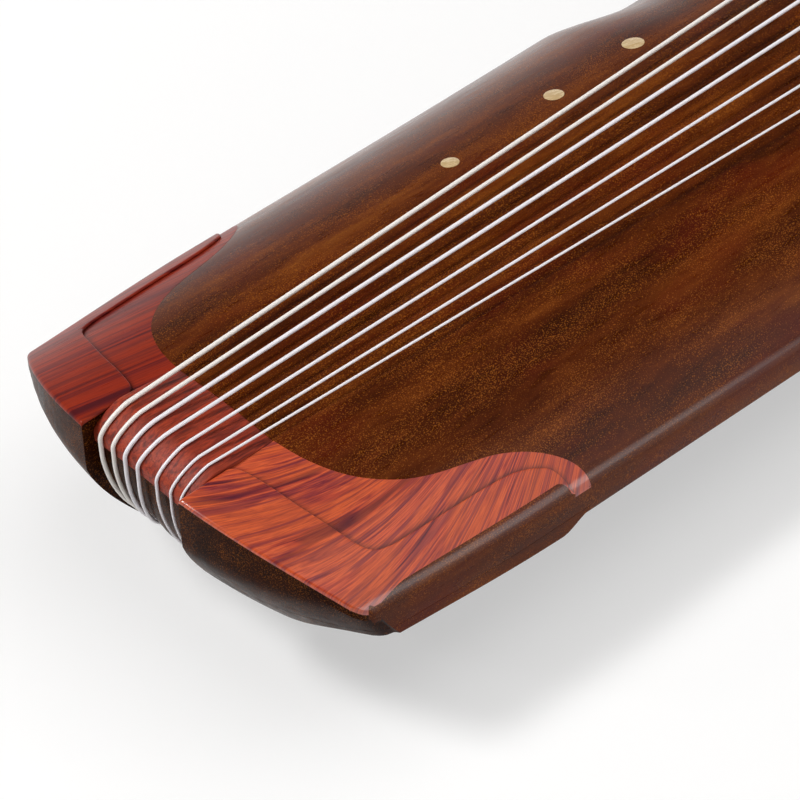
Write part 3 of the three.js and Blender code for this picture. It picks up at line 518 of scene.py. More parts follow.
def makeCamera():
    yaw, pitch, roll = view["yaw"], view["pitch"], view["roll"]
    look = Vector((math.sin(yaw) * math.cos(pitch), math.cos(yaw) * math.cos(pitch), -math.sin(pitch)))
    right = Vector((math.cos(yaw), -math.sin(yaw), 0))
    up = right.cross(look)
    turnedRight = right * math.cos(roll) + up * math.sin(roll)
    turnedUp = up * math.cos(roll) - right * math.sin(roll)
    data = bpy.data.cameras.new("camera")
    data.lens, data.sensor_width, data.clip_end = view["lens"], view["sensor"], view["farthest"]
    camera = bpy.data.objects.new("camera", data)
    camera.matrix_world = Matrix((turnedRight, turnedUp, -look)).transposed().to_4x4()
    camera.location = Vector(view["place"]) * mm
    bpy.context.scene.collection.objects.link(camera)
    bpy.context.scene.camera = camera


makeCamera()
print("camera set")


# A hex colour as the linear values that Blender keeps
def linear(hexColour):
    channels = [int(hexColour[i:i + 2], 16) / 255 for i in (1, 3, 5)]
    return [c / 12.92 if c <= 0.04045 else ((c + 0.055) / 1.055) ** 2.4 for c in channels] + [1]


# Links sources to a node's sockets, where a node given as a source stands for its first output
def linkInputs(tree, made, sources):
    for key, source in sources.items():
        output = source.outputs[0] if isinstance(source, bpy.types.Node) else source
        tree.links.new(output, made.inputs[key])


# Adds a node: settings are its properties or the values of its sockets, links the sources of others.
# Map Range takes its two old limits at 1 and 2 and its two new ones at 3 and 4, and a colour Mix takes
# its two colours at 6 and 7 and gives the result at 2
def addNode(tree, kind, settings=None, links=None):
    made = tree.nodes.new(kind)
    for key, value in (settings or {}).items():
        if key == "stops":
            stops = made.color_ramp.elements
            while len(stops) < len(value):
                stops.new(0.5)
            for element, (place, colour) in zip(stops, value):
                element.position = place
                element.color = linear(colour)
        elif isinstance(key, int) or key in made.inputs:
            isColour = isinstance(value, str) and value[0] == "#"
            made.inputs[key].default_value = linear(value) if isColour else value
        else:
            setattr(made, key, value)
    linkInputs(tree, made, links or {})
    return made


# A material with one Principled shader
def newMaterial(name, roughness, ior=1.5, **settings):
    material = bpy.data.materials.new(name)
    material.use_nodes = True
    tree = material.node_tree
    tree.nodes.clear()
    shader = addNode(tree, "ShaderNodeBsdfPrincipled", {"Roughness": roughness, "IOR": ior, **settings})
    addNode(tree, "ShaderNodeOutputMaterial", None, {0: shader})
    return material, tree, shader


# Places of the piece in metres, moved, turned and then scaled for a pattern
def objectPattern(tree, scale, turn=0.0, place=(0, 0, 0)):
    coords = addNode(tree, "ShaderNodeTexCoord").outputs["Object"]
    moved = addNode(tree, "ShaderNodeMapping", {"Location": place, "Rotation": (0, 0, turn)}, {0: coords})
    return addNode(tree, "ShaderNodeMapping", {"Scale": scale}, {0: moved})


# Layered lacquer with bronze powder, rubbed down: a dark red-brown satin ground in long bands from
# the rubbing, and flecks of under half a millimetre that catch the light. Rounded edges are polished
lacquerLook = {
    "ground": [(0.3, "#2c1003"), (0.42, "#421803"), (0.52, "#532104"), (0.62, "#683007"), (0.75, "#7c420c")],
    "reddish": "#581305",
    "fleck": "#ba6a20",
    "bandAcross": 0.011,  # width of a band, in metres
    "bandShare": 0.12,  # its width as a share of its length
    "fineBandAcross": 0.0024,
    "fineBandShare": 0.2,
    "patchScale": (22, 70, 70),  # per metre
    "cloudScale": (35, 110, 110),
    "fleckSize": 0.00023,
    "fleckAmount": 0.57,
    "fleckStrength": 0.42,
    "roughness": 0.3,
    "gloss": 0.07,
    "polish": 0.6,
    "topPolish": 0.12,
}


def lacquer(name, look):
    material, tree, shader = newMaterial(name, look["roughness"], **{
        "Specular IOR Level": look["gloss"], "Coat Roughness": 0.2})
    broad = 1 / look["bandAcross"]
    fine = 1 / look["fineBandAcross"]
    grain = 1 / (look["fleckSize"] * 1.5)
    bands = addNode(tree, "ShaderNodeTexNoise", {"Scale": 1, "Detail": 3, "Roughness": 0.6},
                    {0: objectPattern(tree, (broad * look["bandShare"], broad, broad * 0.6))})
    fineBands = addNode(tree, "ShaderNodeTexNoise", {"Scale": 1, "Detail": 4, "Roughness": 0.65},
                        {0: objectPattern(tree, (fine * look["fineBandShare"], fine, fine * 0.6))})
    both = addNode(tree, "ShaderNodeMix", {0: 0.35}, {2: bands, 3: fineBands})
    ground = addNode(tree, "ShaderNodeValToRGB", {"stops": look["ground"]}, {0: both})
    patches = addNode(tree, "ShaderNodeTexNoise", {"Scale": 1, "Detail": 3},
                      {0: objectPattern(tree, look["patchScale"], 0, (0.3, 0.1, 0))})
    patchMask = addNode(tree, "ShaderNodeMapRange", {1: 0.5, 2: 0.68, 3: 0.0, 4: 0.45}, {0: patches})
    warmed = addNode(tree, "ShaderNodeMix", {"data_type": "RGBA", 7: look["reddish"]},
                     {0: patchMask, 6: ground})

    # flecks, more of them in some clouds than between those
    flecks = addNode(tree, "ShaderNodeTexNoise", {"Scale": 1, "Detail": 1, "Roughness": 0.5},
                     {0: objectPattern(tree, (grain * 0.8, grain, grain))})
    clouds = addNode(tree, "ShaderNodeTexNoise", {"Scale": 1, "Detail": 3},
                     {0: objectPattern(tree, look["cloudScale"], 0, (0.7, 0, 0.2))})
    level = addNode(tree, "ShaderNodeMapRange", {1: 0.35, 2: 0.65, 3: look["fleckAmount"] + 0.05,
                                                 4: look["fleckAmount"] - 0.06}, {0: clouds})
    over = addNode(tree, "ShaderNodeMath", {"operation": "SUBTRACT"}, {0: flecks, 1: level})
    fleckMask = addNode(tree, "ShaderNodeMapRange", {1: 0.0, 2: 0.14, 3: 0.0, 4: look["fleckStrength"]},
                        {0: over})
    colour = addNode(tree, "ShaderNodeMix", {"data_type": "RGBA", 7: look["fleck"]},
                     {0: fleckMask, 6: warmed.outputs[2]})
    dull = addNode(tree, "ShaderNodeMapRange", {1: 0.3, 2: 0.7, 3: look["roughness"] - 0.06,
                                                4: look["roughness"] + 0.1}, {0: fineBands})
    raised = addNode(tree, "ShaderNodeBump", {"Strength": 0.1, "Distance": 0.0001}, {"Height": flecks})

    # polish on what leans outward, and little on what faces straight up
    facing = addNode(tree, "ShaderNodeTexCoord").outputs["Normal"]
    upward = addNode(tree, "ShaderNodeSeparateXYZ", None, {0: facing}).outputs[2]
    edges = addNode(tree, "ShaderNodeMapRange", {1: 0.1, 2: 0.5, 3: 0.0, 4: look["polish"]}, {0: upward})
    flats = addNode(tree, "ShaderNodeMapRange",
                    {1: 0.78, 2: 0.97, 3: 1.0, 4: look["topPolish"] / look["polish"]}, {0: upward})
    coat = addNode(tree, "ShaderNodeMath", {"operation": "MULTIPLY"}, {0: edges, 1: flats})
    linkInputs(tree, shader, {"Base Color": colour.outputs[2], "Roughness": dull, "Coat Weight": coat,
                              "Normal": raised})
    return material


# Rosewood, planed, oiled and polished: streaks of dark heartwood along the grain, broader patches of
# lighter wood, and fine fibres and pores. Its pattern runs in millimetres along and across the grain
def rosewood(name, look):
    material, tree, shader = newMaterial(name, look["roughness"], **{
        "Specular IOR Level": look["gloss"], "Coat Weight": look["coat"], "Coat Roughness": 0.15})
    if look["onPiece"]:
        coords = addNode(tree, "ShaderNodeUVMap", {"uv_map": "pattern"})
    else:
        coords = objectPattern(tree, (1 / mm, 1 / mm, 1 / mm), look["turn"])

    def grainNoise(along, across, detail, rough, distortion=0.0, place=(0, 0, 0)):
        scale = (1 / along, 1 / across, 1 / across)
        scaled = addNode(tree, "ShaderNodeMapping", {"Location": place, "Scale": scale}, {0: coords})
        return addNode(tree, "ShaderNodeTexNoise", {"Scale": 1, "Detail": detail, "Roughness": rough,
                                                    "Distortion": distortion}, {0: scaled})

    streaks = grainNoise(look["streakLength"], look["streak"], 4, 0.55, look["figure"])
    patches = grainNoise(look["patchLength"], look["patch"], 2, 0.5, 0.5, (3.1, 7.7, 0))
    lines = grainNoise(look["streakLength"], look["line"], 2, 0.5, look["figure"] * 0.5, (5.7, 1.3, 4))
    # fibres sixteen times as long as they are wide
    fibres = grainNoise(look["fibre"] * 16, look["fibre"], 3, 0.65, 0, (11.3, 2.9, 5))
    patchMask = addNode(tree, "ShaderNodeMapRange", {1: 0.42, 2: 0.62, 3: 0.0, 4: look["patchShare"]},
                        {0: patches})
    lineMask = addNode(tree, "ShaderNodeMapRange", {1: 0.53, 2: 0.62, 3: 0.0, 4: look["lineShare"]},
                       {0: lines})
    fibreMask = addNode(tree, "ShaderNodeMapRange", {1: 0.45, 2: 0.7, 3: 0.0, 4: look["fibreShare"]},
                        {0: fibres})
    layers = [(patchMask, look["light"]), (lineMask, look["lineColour"]), (fibreMask, look["dark"])]
    if look["onPiece"]:
        # Painted shade at the foot of the rim: the 'hollow' value darkens the wood
        hollow = addNode(tree, "ShaderNodeAttribute", {"attribute_name": "hollow"}).outputs["Fac"]
        depth = addNode(tree, "ShaderNodeMath", {"operation": "MULTIPLY", 1: 0.75}, {0: hollow})
        layers.append((depth, "#2c0d0a"))
    colour = addNode(tree, "ShaderNodeValToRGB", {"stops": look["colours"]}, {0: streaks}).outputs[0]
    for mask, layer in layers:
        mixed = addNode(tree, "ShaderNodeMix", {"data_type": "RGBA", 7: layer}, {0: mask, 6: colour})
        colour = mixed.outputs[2]
    dull = addNode(tree, "ShaderNodeMapRange", {1: 0.3, 2: 0.7, 3: look["roughness"] - 0.04,
                                                4: look["roughness"] + 0.1}, {0: fibres})
    sunken = addNode(tree, "ShaderNodeBump", {"Strength": 0.1, "Distance": 0.0001, "invert": True},
                     {"Height": fibreMask})
    linkInputs(tree, shader, {"Base Color": colour, "Roughness": dull, "Normal": sunken})
    return material


# Looks of the woods; streaks, patches, lines and fibres are in millimetres across the grain
farCornerLook = {
    "onPiece": True,
    "colours": [(0.3, "#3a1219"), (0.4, "#5c181a"), (0.46, "#862616"), (0.53, "#962e18"), (0.59, "#621a1c"),
                (0.65, "#862a18"), (0.74, "#42141a")],
    "streak": 4, "streakLength": 260, "figure": 0.2, "patch": 12, "patchLength": 60, "patchShare": 0.35,
    "light": "#9c3614", "line": 2.3, "lineShare": 0.5, "lineColour": "#54181e",
    "fibre": 0.5, "fibreShare": 0.35, "dark": "#46120f", "roughness": 0.3, "coat": 0.0, "gloss": 0.12,
}
nearCornerLook = {
    **farCornerLook,
    "colours": [(0.3, "#4c1628"), (0.37, "#6e2026"), (0.43, "#b83e28"), (0.5, "#de5e30"), (0.57, "#ba422a"),
                (0.63, "#762230"), (0.7, "#be4a32"), (0.8, "#641c2e")],
    "streak": 5, "streakLength": 60, "figure": 1.6, "light": "#d85c22", "patchLength": 30, "patch": 11,
    "patchShare": 0.6, "line": 1.7, "lineShare": 0.6, "lineColour": "#6a1e34", "dark": "#741d18",
    "fibreShare": 0.6, "coat": 0.6, "gloss": 0.5,
}
nutLook = {
    **farCornerLook, "onPiece": False, "turn": 0.0, "gloss": 0.3,
    "colours": [(0.3, "#541810"), (0.42, "#7e2816"), (0.52, "#a0341c"), (0.62, "#ac4020"),
                (0.72, "#6c2012")],
    "streak": 1.9, "streakLength": 26, "figure": 0.8, "patch": 4, "patchLength": 9, "light": "#a8401f",
    "line": 0.8, "lineShare": 0.4, "lineColour": "#4c140e",
    "fibre": 0.35, "fibreShare": 0.5, "dark": "#4c140e", "roughness": 0.5, "coat": 0.0,
}
headWoodLook = {
    **nutLook, "turn": math.radians(90),
    "colours": [(0.3, "#2a100b"), (0.45, "#481a11"), (0.6, "#622517"), (0.72, "#3e150d")],
    "streak": 3, "streakLength": 60, "patch": 8, "patchLength": 40, "light": "#70321f", "dark": "#1e0c08",
    "lineColour": "#200c09",
}
postLook = {
    **headWoodLook, "turn": 0.0,
    "colours": [(0.3, "#8d6940"), (0.5, "#ab8558"), (0.7, "#bd9868")],
    "light": "#c4a274", "dark": "#6a4c2c", "lineColour": "#8a6238", "roughness": 0.75,
}


# Strings of steel wound with nylon, or silk: a smooth white cover whose turns lie close together
def stringCover(name, colours, turnWidth):
    material, tree, shader = newMaterial(name, 0.32)
    pattern = addNode(tree, "ShaderNodeUVMap", {"uv_map": "pattern"})
    wound = addNode(tree, "ShaderNodeMapping", {"Scale": (1, 1 / turnWidth, 1)}, {0: pattern})
    parts = addNode(tree, "ShaderNodeSeparateXYZ", None, {0: wound}).outputs
    along = addNode(tree, "ShaderNodeMath", {"operation": "ADD"}, {0: parts[0], 1: parts[1]})
    turnShare = addNode(tree, "ShaderNodeMath", {"operation": "FRACT"}, {0: along})
    ridge = addNode(tree, "ShaderNodeMath", {"operation": "PINGPONG", 1: 0.5}, {0: turnShare})
    cover = addNode(tree, "ShaderNodeMapRange", {1: 0.0, 2: 0.22, 3: 0.0, 4: 1.0}, {0: ridge})
    # The narrow gaps between turns take the second, darker colour: painted shade in the grooves
    colour = addNode(tree, "ShaderNodeMix", {"data_type": "RGBA", 6: colours[1], 7: colours[0]}, {0: cover})
    raised = addNode(tree, "ShaderNodeBump", {"Strength": 0.15, "Distance": 0.00003}, {"Height": cover})
    linkInputs(tree, shader, {"Base Color": colour.outputs[2], "Normal": raised})
    return material


# Twisted silk cord: matt, with fine fibres along the twist, darker where the fibre noise sinks into hollows.
# The fibres are 0.4 mm across, far coarser than silk's, so that they show
def silkCord():
    material, tree, shader = newMaterial("twisted_silk", 0.8, 1.45, **{
        "Sheen Weight": 0.4, "Sheen Roughness": 0.4})
    fibres = addNode(tree, "ShaderNodeTexNoise", {"Scale": 1, "Detail": 4, "Roughness": 0.7},
                     {0: objectPattern(tree, (2600, 2600, 700))})
    stops = [(0.25, "#3e3122"), (0.5, "#6b563a"), (0.8, "#927a55")]
    colour = addNode(tree, "ShaderNodeValToRGB", {"stops": stops}, {0: fibres})
    raised = addNode(tree, "ShaderNodeBump", {"Strength": 0.4, "Distance": 0.0001}, {"Height": fibres})
    linkInputs(tree, shader, {"Base Color": colour, "Normal": raised})
    return material


# Shell discs, ground and polished: warm cream with a soft pearly coat, and faint growth lines that are
# 1.7 mm across and 4 mm long
def shell():
    material, tree, shader = newMaterial("ground_shell", 0.25, 1.53, **{
        "Coat Weight": 0.3, "Coat Roughness": 0.1})
    settings = {"Scale": 1, "Detail": 5, "Roughness": 0.6, "Distortion": 0.8}
    growth = addNode(tree, "ShaderNodeTexNoise", settings, {0: objectPattern(tree, (250, 600, 600), 0.5)})
    stops = [(0.3, "#bd9c68"), (0.5, "#cdaf82"), (0.7, "#d8c194")]
    colour = addNode(tree, "ShaderNodeValToRGB", {"stops": stops}, {0: growth})
    dull = addNode(tree, "ShaderNodeMapRange", {3: 0.18, 4: 0.36}, {0: growth})
    linkInputs(tree, shader, {"Base Color": colour, "Roughness": dull})
    return material


boardLacquer = lacquer("bronze_flecked_lacquer", lacquerLook)
# A darker copy of the board's lacquer: the dark lacquer of the under face, the pool, the holes and the
# support, and also painted shade on the tail's end faces and recess walls
darkLacquerAndShade = lacquer("dark_lacquer_and_painted_shade", {
    **lacquerLook, "ground": [(0.3, "#170803"), (0.45, "#220b03"), (0.6, "#301204"), (0.75, "#401c06")],
    "reddish": "#2c0a04", "fleckStrength": 0.33, "gloss": 0.03})
farWood = rosewood("red_rosewood_straight", farCornerLook)
nearWood = rosewood("red_rosewood_figured", nearCornerLook)
nutWood = rosewood("red_rosewood_fine", nutLook)
headWood = rosewood("dark_rosewood", headWoodLook)
postWood = rosewood("paulownia", postLook)
# The second colour of each cover is the painted shade between its turns
whiteCover = stringCover("nylon_wound_white", ("#fcf8fb", "#e9e2e9"), 0.45)
creamCover = stringCover("nylon_wound_cream", ("#fdf7f1", "#f0e6dd"), 0.5)
cordSilk = silkCord()
shellDisc = shell()
print("materials made")

# Soundboard: one long loft, with two blocks that carry it on to the tail's end. Its rings stand closer
# at the tail, over the settling arch and near each curve of the outline
board = {"acrossSteps": 52, "rollSteps": 8, "ceilingSteps": 10, "tailStep": 1.6, "pastCorner": 4,
         "archStep": 5, "archRun": 40, "curveStep": 3, "curveBefore": 12, "curveAfter": 4, "plainStep": 10,
         "blockAlong": 8, "blockAcross": 24, "blockRows": 8,
         "headAngles": (0, 15, 30, 42, 52, 62, 70, 78, 84, 90)}
edgeAngles = [90 * k / board["rollSteps"] for k in range(board["rollSteps"], -1, -1)]


# Where the rings of a board stand
def boardStations(start, end):
    places = [start]
    waistCurve = body["waistCurve"]
    curves = [(body["waistStart"], waistCurve), (body["waistEnd"] - waistCurve, waistCurve),
              (body["shoulderStart"], body["shoulderCurve"]), (headStart, body["headCurve"])]
    radius = body["headCornerRadius"]
    while places[-1] < end - radius - 1:
        x = places[-1]
        step = board["plainStep"]
        if x < tail["cornerLength"] + board["pastCorner"]:
            step = board["tailStep"]
        elif x < body["dropSettles"] + board["archRun"]:
            step = board["archStep"]
        elif any(a - board["curveBefore"] < x < a + run + board["curveAfter"] for a, run in curves):
            step = board["curveStep"]
        places.append(x + step)
    if end == headEnd:
        places += [end - radius + radius * math.sin(math.radians(a)) for a in board["headAngles"]]
    else:
        places[-1] = end
    return sorted(set(places))


# Places across a ring, closer together round the rolled edges
def acrossPlaces(width, radius, steps):
    rolled = [width - radius + radius * math.sin(math.radians(a)) for a in edgeAngles]
    flat = [lerp(-(width - radius), width - radius, k / steps) for k in range(1, steps)]
    return [-y for y in rolled] + flat + rolled[::-1]


def headRoll(x):
    radius = body["edgeRadius"]
    return roundOver((x - (headEnd - radius)) / radius, radius)


# One ring of the soundboard, over the top and back along its under face or the chamber
def boardRing(x, hollow):
    width = halfWidth(x)
    top = [(x, y, boardTop(x, y) - sunkUnder(x, y) - headRoll(x))
           for y in acrossPlaces(width, body["edgeRadius"], board["acrossSteps"])]
    half = width - body["sideWall"]
    low = seam(x)
    roof = []
    for k in range(board["ceilingSteps"] + 1):
        y = lerp(half, -half, k / board["ceilingSteps"])
        roof.append((x, y, ceiling(x, y) if hollow else low))
    return top + [(x, width, low), (x, half, low)] + roof + [(x, -half, low), (x, -width, low)]


# Blocks at the tail: s is millimetres or a share from the end face, w a share or an angle at the edge
endSteps = [("mm", v) for v in (0, 0.08, 0.25, 0.5, 0.85, 1.3, 2)]
edgeRoll = [("angle", a) for a in (11, 22, 34, 45, 56, 67, 79, 90)]


# A place across a block: a share of the flat part, or an angle round its edge
def acrossPlace(x, w, radius, grow=0.0):
    kind, value = w
    width = halfWidth(x) + grow
    if kind == "angle":
        return width - radius + radius * math.sin(math.radians(value))
    return lerp(tail["recessHalfWidth"] - grow, width - radius, value)


# A place along a block: millimetres from the end, a share, or millimetres from the back
def alongPlace(s, start, end):
    kind, value = s
    if kind == "mm":
        return start + value
    if kind == "back":
        return end - value
    return lerp(start + endSteps[-1][1], end - tail["lastStep"], value)


# A point of a block: the end leans and sweeps with height and width, so x is settled in rounds
def tailPlace(side, s, w, t, top, bottom, inner, grow=0.0):
    radius = body["edgeRadius"]
    x = 10  # a first guess, which the rounds below settle
    for settling in range(4):
        y = acrossPlace(x, w, radius, grow)
        z = lerp(top(x, y), bottom(x, y), t)
        share = (y - tail["recessHalfWidth"]) / (halfWidth(x) + grow - tail["recessHalfWidth"])
        x = alongPlace(s, endFace(y, z) - grow, inner(share))
    return (x, side * y, z)


def shares(count):
    return [("share", k / count) for k in range(count + 1)]


def makeSoundboard():
    shape = newShape()
    hollowEnd = bridgeX - body["chamberEndLead"]
    runs = [(tail["blockEnd"], body["chamberStart"], False), (body["chamberStart"], hollowEnd, True),
            (hollowEnd, headEnd, False)]
    rings = [boardRing(x, hollow) for start, end, hollow in runs for x in boardStations(start, end)]
    addLoft(shape, rings)
    coats = [boardLacquer, darkLacquerAndShade]
    mesh = buildMesh("soundboard", shape, coats)
    piece = addPiece("soundboard_lacquered", mesh, "soundboard")
    cutHead(piece)
    # The blocks' end faces and recess walls take the darker lacquer as painted shade
    blocks = tailBlocks(lambda x, y: boardTop(x, y) - tail["coverDepth"], lambda x, y: seam(x),
                        board["blockRows"], {"end": 1, "recess": 1})
    joinShape(piece, blocks, coats)
    return piece


# The two blocks of a board on either side of the recess, from the end face to where its loft starts
def tailBlocks(top, bottom, rows, paints):
    shape = newShape()

    def backEnd(share):
        return tail["blockEnd"]

    for side in (1, -1):
        addBlock(shape, lambda s, w, t: tailPlace(side, s, w, t, top, bottom, backEnd),
                 endSteps + shares(board["blockAlong"]) + [("back", 0)],
                 shares(board["blockAcross"]) + edgeRoll,
                 [k / rows for k in range(rows + 1)], paints)
    return shape


# Pool for the pegs in the head, and the eyes that the cords come up through. The eyes are cut from 2 mm
# below the pool's roof, and the cutters run from below the instrument to above it
pool = {"width": 28, "halfLength": 72, "depth": 17, "cornerRadius": 6, "eyeRadius": 2.6,
        "eyeX": bridgeX + 22, "eyeOverlap": 2, "stringSpacing": 20.5}
stringCount = 7
underWork = -60
overWork = 10


def addPrism(shape, outline, low, high):
    addLoft(shape, [[(x, y, low) for x, y in outline], [(x, y, high) for x, y in outline]])


def poolOutline():
    return roundedRectangle(pool["eyeX"], 0, pool["width"] / 2, pool["halfLength"], pool["cornerRadius"])


def bridgeY(i):
    return pool["stringSpacing"] * ((stringCount - 1) / 2 - i)


def cutEyes(piece, low, material):
    radius = pool["eyeRadius"]
    eyes = newShape()
    for i in range(stringCount):
        addPrism(eyes, roundedRectangle(pool["eyeX"], bridgeY(i), radius, radius, radius, 6), low, overWork)
    cutAway(piece, eyes, material)


def cutHead(piece):
    roof = underside(pool["eyeX"]) + pool["depth"]
    cutter = newShape()
    addPrism(cutter, poolOutline(), underWork, roof)
    cutAway(piece, cutter, darkLacquerAndShade)
    cutEyes(piece, roof - pool["eyeOverlap"], darkLacquerAndShade)


soundboard = makeSoundboard()
print("soundboard:", len(soundboard.data.polygons), "faces")

# Bottom board with its two sound holes, and for each hole its start as a share of the string's length,
# its own length and its width
holes = {"long": (0.545, 200, 29), "short": (0.147, 105, 28), "cornerRadius": 9, "cutFrom": -80,
         "cutTo": -20}
underBoard = {"edgeRadius": 1.5, "edgeAngles": (90, 66, 44, 22, 0), "acrossSteps": 12, "blockRows": 2}


# One ring of the bottom board, with its lower edges rounded
def bottomRing(x):
    width = halfWidth(x)
    radius = underBoard["edgeRadius"]
    high = seam(x)
    low = underside(x)
    under = []
    for angle in underBoard["edgeAngles"]:
        turn = math.radians(angle)
        under.append((width - radius + radius * math.sin(turn), low + radius * (1 - math.cos(turn))))
    steps = underBoard["acrossSteps"]
    flat = [lerp(width - radius, -(width - radius), k / steps) for k in range(1, steps)]
    ring = [(x, -width, high), (x, width, high)] + [(x, y, z) for y, z in under]
    ring += [(x, y, low) for y in flat]
    return ring + [(x, -y, z) for y, z in reversed(under)]


# The lower corners are let into the bottom board by this much
def lowerCornerTop(x, y):
    return underside(x) + tail["lowerCornerLetIn"]


def makeBottomBoard():
    shape = newShape()
    rings = [bottomRing(x) for x in boardStations(tail["blockEnd"], headEnd)]
    sides = len(underBoard["edgeAngles"])  # faces up each side, which are painted like the soundboard
    addLoft(shape, rings, lambda i, j: 1 if 0 < j < sides or j > len(rings[0]) - sides else 0)
    coats = [darkLacquerAndShade, boardLacquer]
    mesh = buildMesh("bottom_board", shape, coats)
    piece = addPiece("bottom_board_lacquered", mesh, "bottom_board")
    outlines = []
    for startShare, length, width in (holes["long"], holes["short"]):
        centre = bridgeX * startShare + length / 2
        outlines.append(roundedRectangle(centre, 0, length / 2, width / 2, holes["cornerRadius"]))
    cutter = newShape()
    for outline in outlines + [poolOutline()]:
        addPrism(cutter, outline, holes["cutFrom"], holes["cutTo"])
    cutAway(piece, cutter, darkLacquerAndShade)
    # The blocks' outer sides take the board's lacquer; their end faces and recess walls take the darker
    # lacquer as painted shade
    blocks = tailBlocks(lambda x, y: seam(x), lowerCornerTop, underBoard["blockRows"], {"outer": 1})
    joinShape(piece, blocks, coats)
    return piece


bottomBoard = makeBottomBoard()
print("bottom board:", len(bottomBoard.data.polygons), "faces")


# Red corners: a flat inlay, and a raised rim round their two outer sides
rim = {"grow": 0.05, "innerRound": 0.45, "sunk": 0.8,
       "rollSteps": (0, 0.05, 0.18, 0.38, 0.65, 1.0, 1.5, 2.1, 2.8), "flatSteps": 14, "bendShare": 0.21,
       "leastWidth": 7, "recessSteps": (0, 0.08, 0.25, 0.5, 0.9), "recessRound": 0.9,
       "lacquerOver": 8, "softRound": 1.1, "rollGrows": (6, 20), "leastRoll": 0.35, "shadeEnd": 24,
       "shadeWidth": 1.1, "inlayProud": 0.03, "inlayLevel": 0.1, "headLead": 1.2,
       "roundAngles": (0, 18, 36, 54, 72, 90), "sideFrom": 0.5, "paintFrom": 0.05}


# The two faces of a red corner
def cornerTop(x, y):
    return boardTop(x, y) + rim["inlayProud"]


def cornerBottom(x, y):
    u = min(abs(y) / halfWidth(x), 1)
    return boardTop(x, y) - lerp(tail["cornerThickness"], tail["cornerEdgeThickness"], u ** 4)


# Fall of the corner's top where it rounds over the tail's end
def softEnd(x, y):
    bevel = tail["endBevel"]
    return roundOver(1 - (x - endEdge(y)) / bevel, bevel)


# Pairs of a point on the rim's outer edge and one on its inner edge, from the recess round to the side
def rimPairs():
    inner = [p for p in rimCurve if p.y < halfWidth(p.x)]
    bend = min(range(len(inner)), key=lambda k: abs(inner[k].x - rim["bendShare"] * tail["cornerLength"]))
    crossing = inner[-1].x + rim["headLead"]
    inner.append(Vector((crossing, halfWidth(crossing))))
    width = halfWidth(0)
    radius = tail["endCornerRadius"]
    low = tail["recessHalfWidth"]
    pairs = []
    for d in rim["recessSteps"]:
        y = low - rim["grow"] + d
        x = lerp(inner[0].x, inner[2].x, d / (inner[2].y - low))
        pairs.append((Vector((endEdge(y), y)), Vector((x, y))))
    for p in inner[3:bend]:
        y = lerp(low, width - radius, (p.y - low) / (inner[bend].y - low))
        pairs.append((Vector((endEdge(y), y)), p))
    for angle in range(0, 91, 9):
        y = width - radius + radius * math.sin(math.radians(angle))
        pairs.append((Vector((endEdge(y), y)), inner[bend]))
    tip = endEdge(width)
    for p in inner[bend + 1:]:
        x = lerp(tip, crossing, (p.x - inner[bend].x) / (crossing - inner[bend].x))
        pairs.append((Vector((x, halfWidth(x))), p))
    return pairs


# One ring of the rim: over its rolled outer edge, its flat top and its inner edge, then round below
def rimRing(outer, inner, side, onSide, rollShare):
    width = (inner - outer).length
    pace = min(width / rim["leastWidth"], 1)
    rolled = [d * pace * rollShare for d in rim["rollSteps"]]
    radius = rim["softRound" if onSide and side > 0 else "innerRound"] * pace
    flat = [lerp(rolled[-1], width - radius, k / rim["flatSteps"]) for k in range(1, rim["flatSteps"])]
    steps = rolled + flat
    steps += [width - radius + radius * math.sin(math.radians(a)) for a in rim["roundAngles"]]
    run = (inner - outer) / max(width, 1e-6)
    ring = []
    for d in steps:
        p = outer + run * d
        z = boardTop(p.x, p.y) + tail["rimHeight"] - softEnd(p.x, p.y)
        z -= roundOver(1 - (width - d) / radius if radius > 1e-6 else 0, radius)
        beyondRecess = p.y - tail["recessHalfWidth"] + rim["grow"]
        z -= roundOver(1 - beyondRecess / rim["recessRound"], rim["recessRound"])
        ring.append(Vector((p.x, side * p.y, z)))
    ring.append(Vector((inner.x, side * inner.y, boardTop(inner.x, inner.y) - rim["sunk"])))
    ring.append(Vector((outer.x, side * outer.y, cornerBottom(outer.x, outer.y))))
    away = Vector((-run.x, -run.y * side, 0)) * rim["grow"]
    for k in [i for i, d in enumerate(steps) if d < 0.5] + [len(ring) - 1]:
        ring[k] += away
    return ring


# Grain of a corner, in millimetres along and across it. It is straight on the far one; on the near
# one it leans to the side at the tail's end and turns to the middle further up the board
grain = {"farLean": 0.24, "lean": 0.76, "turn": 0.0111, "bend": 0.0075}


def cornerGrain(point, side):
    if side > 0:
        return (point.x, point.y + grain["farLean"] * point.x)
    ratio = grain["bend"] / grain["turn"]
    across = abs(point.y) + ratio * point.x - (grain["lean"] + ratio) / grain["turn"]
    return (point.x, across * math.exp(grain["turn"] * point.x))


# Shade at the foot of the rim, on the flat inlay beside it
def besideRim(point):
    offInlay = abs(point.z - cornerTop(point.x, point.y)) > rim["inlayLevel"]
    if offInlay or (point.y > 0 and point.x > rim["shadeEnd"]):
        return 0
    return math.exp(-(insideCurve(rimCurve, point.x, point.y) / rim["shadeWidth"]) ** 2)


# How far the corners' faces stand out from the solids, and their steps along and across
corners = {"grow": 0.02, "alongSteps": 70, "backStep": 0.25, "acrossSteps": 60,
           "lowerGrow": 0.04, "lowerSteps": 40, "lowerRows": 8}


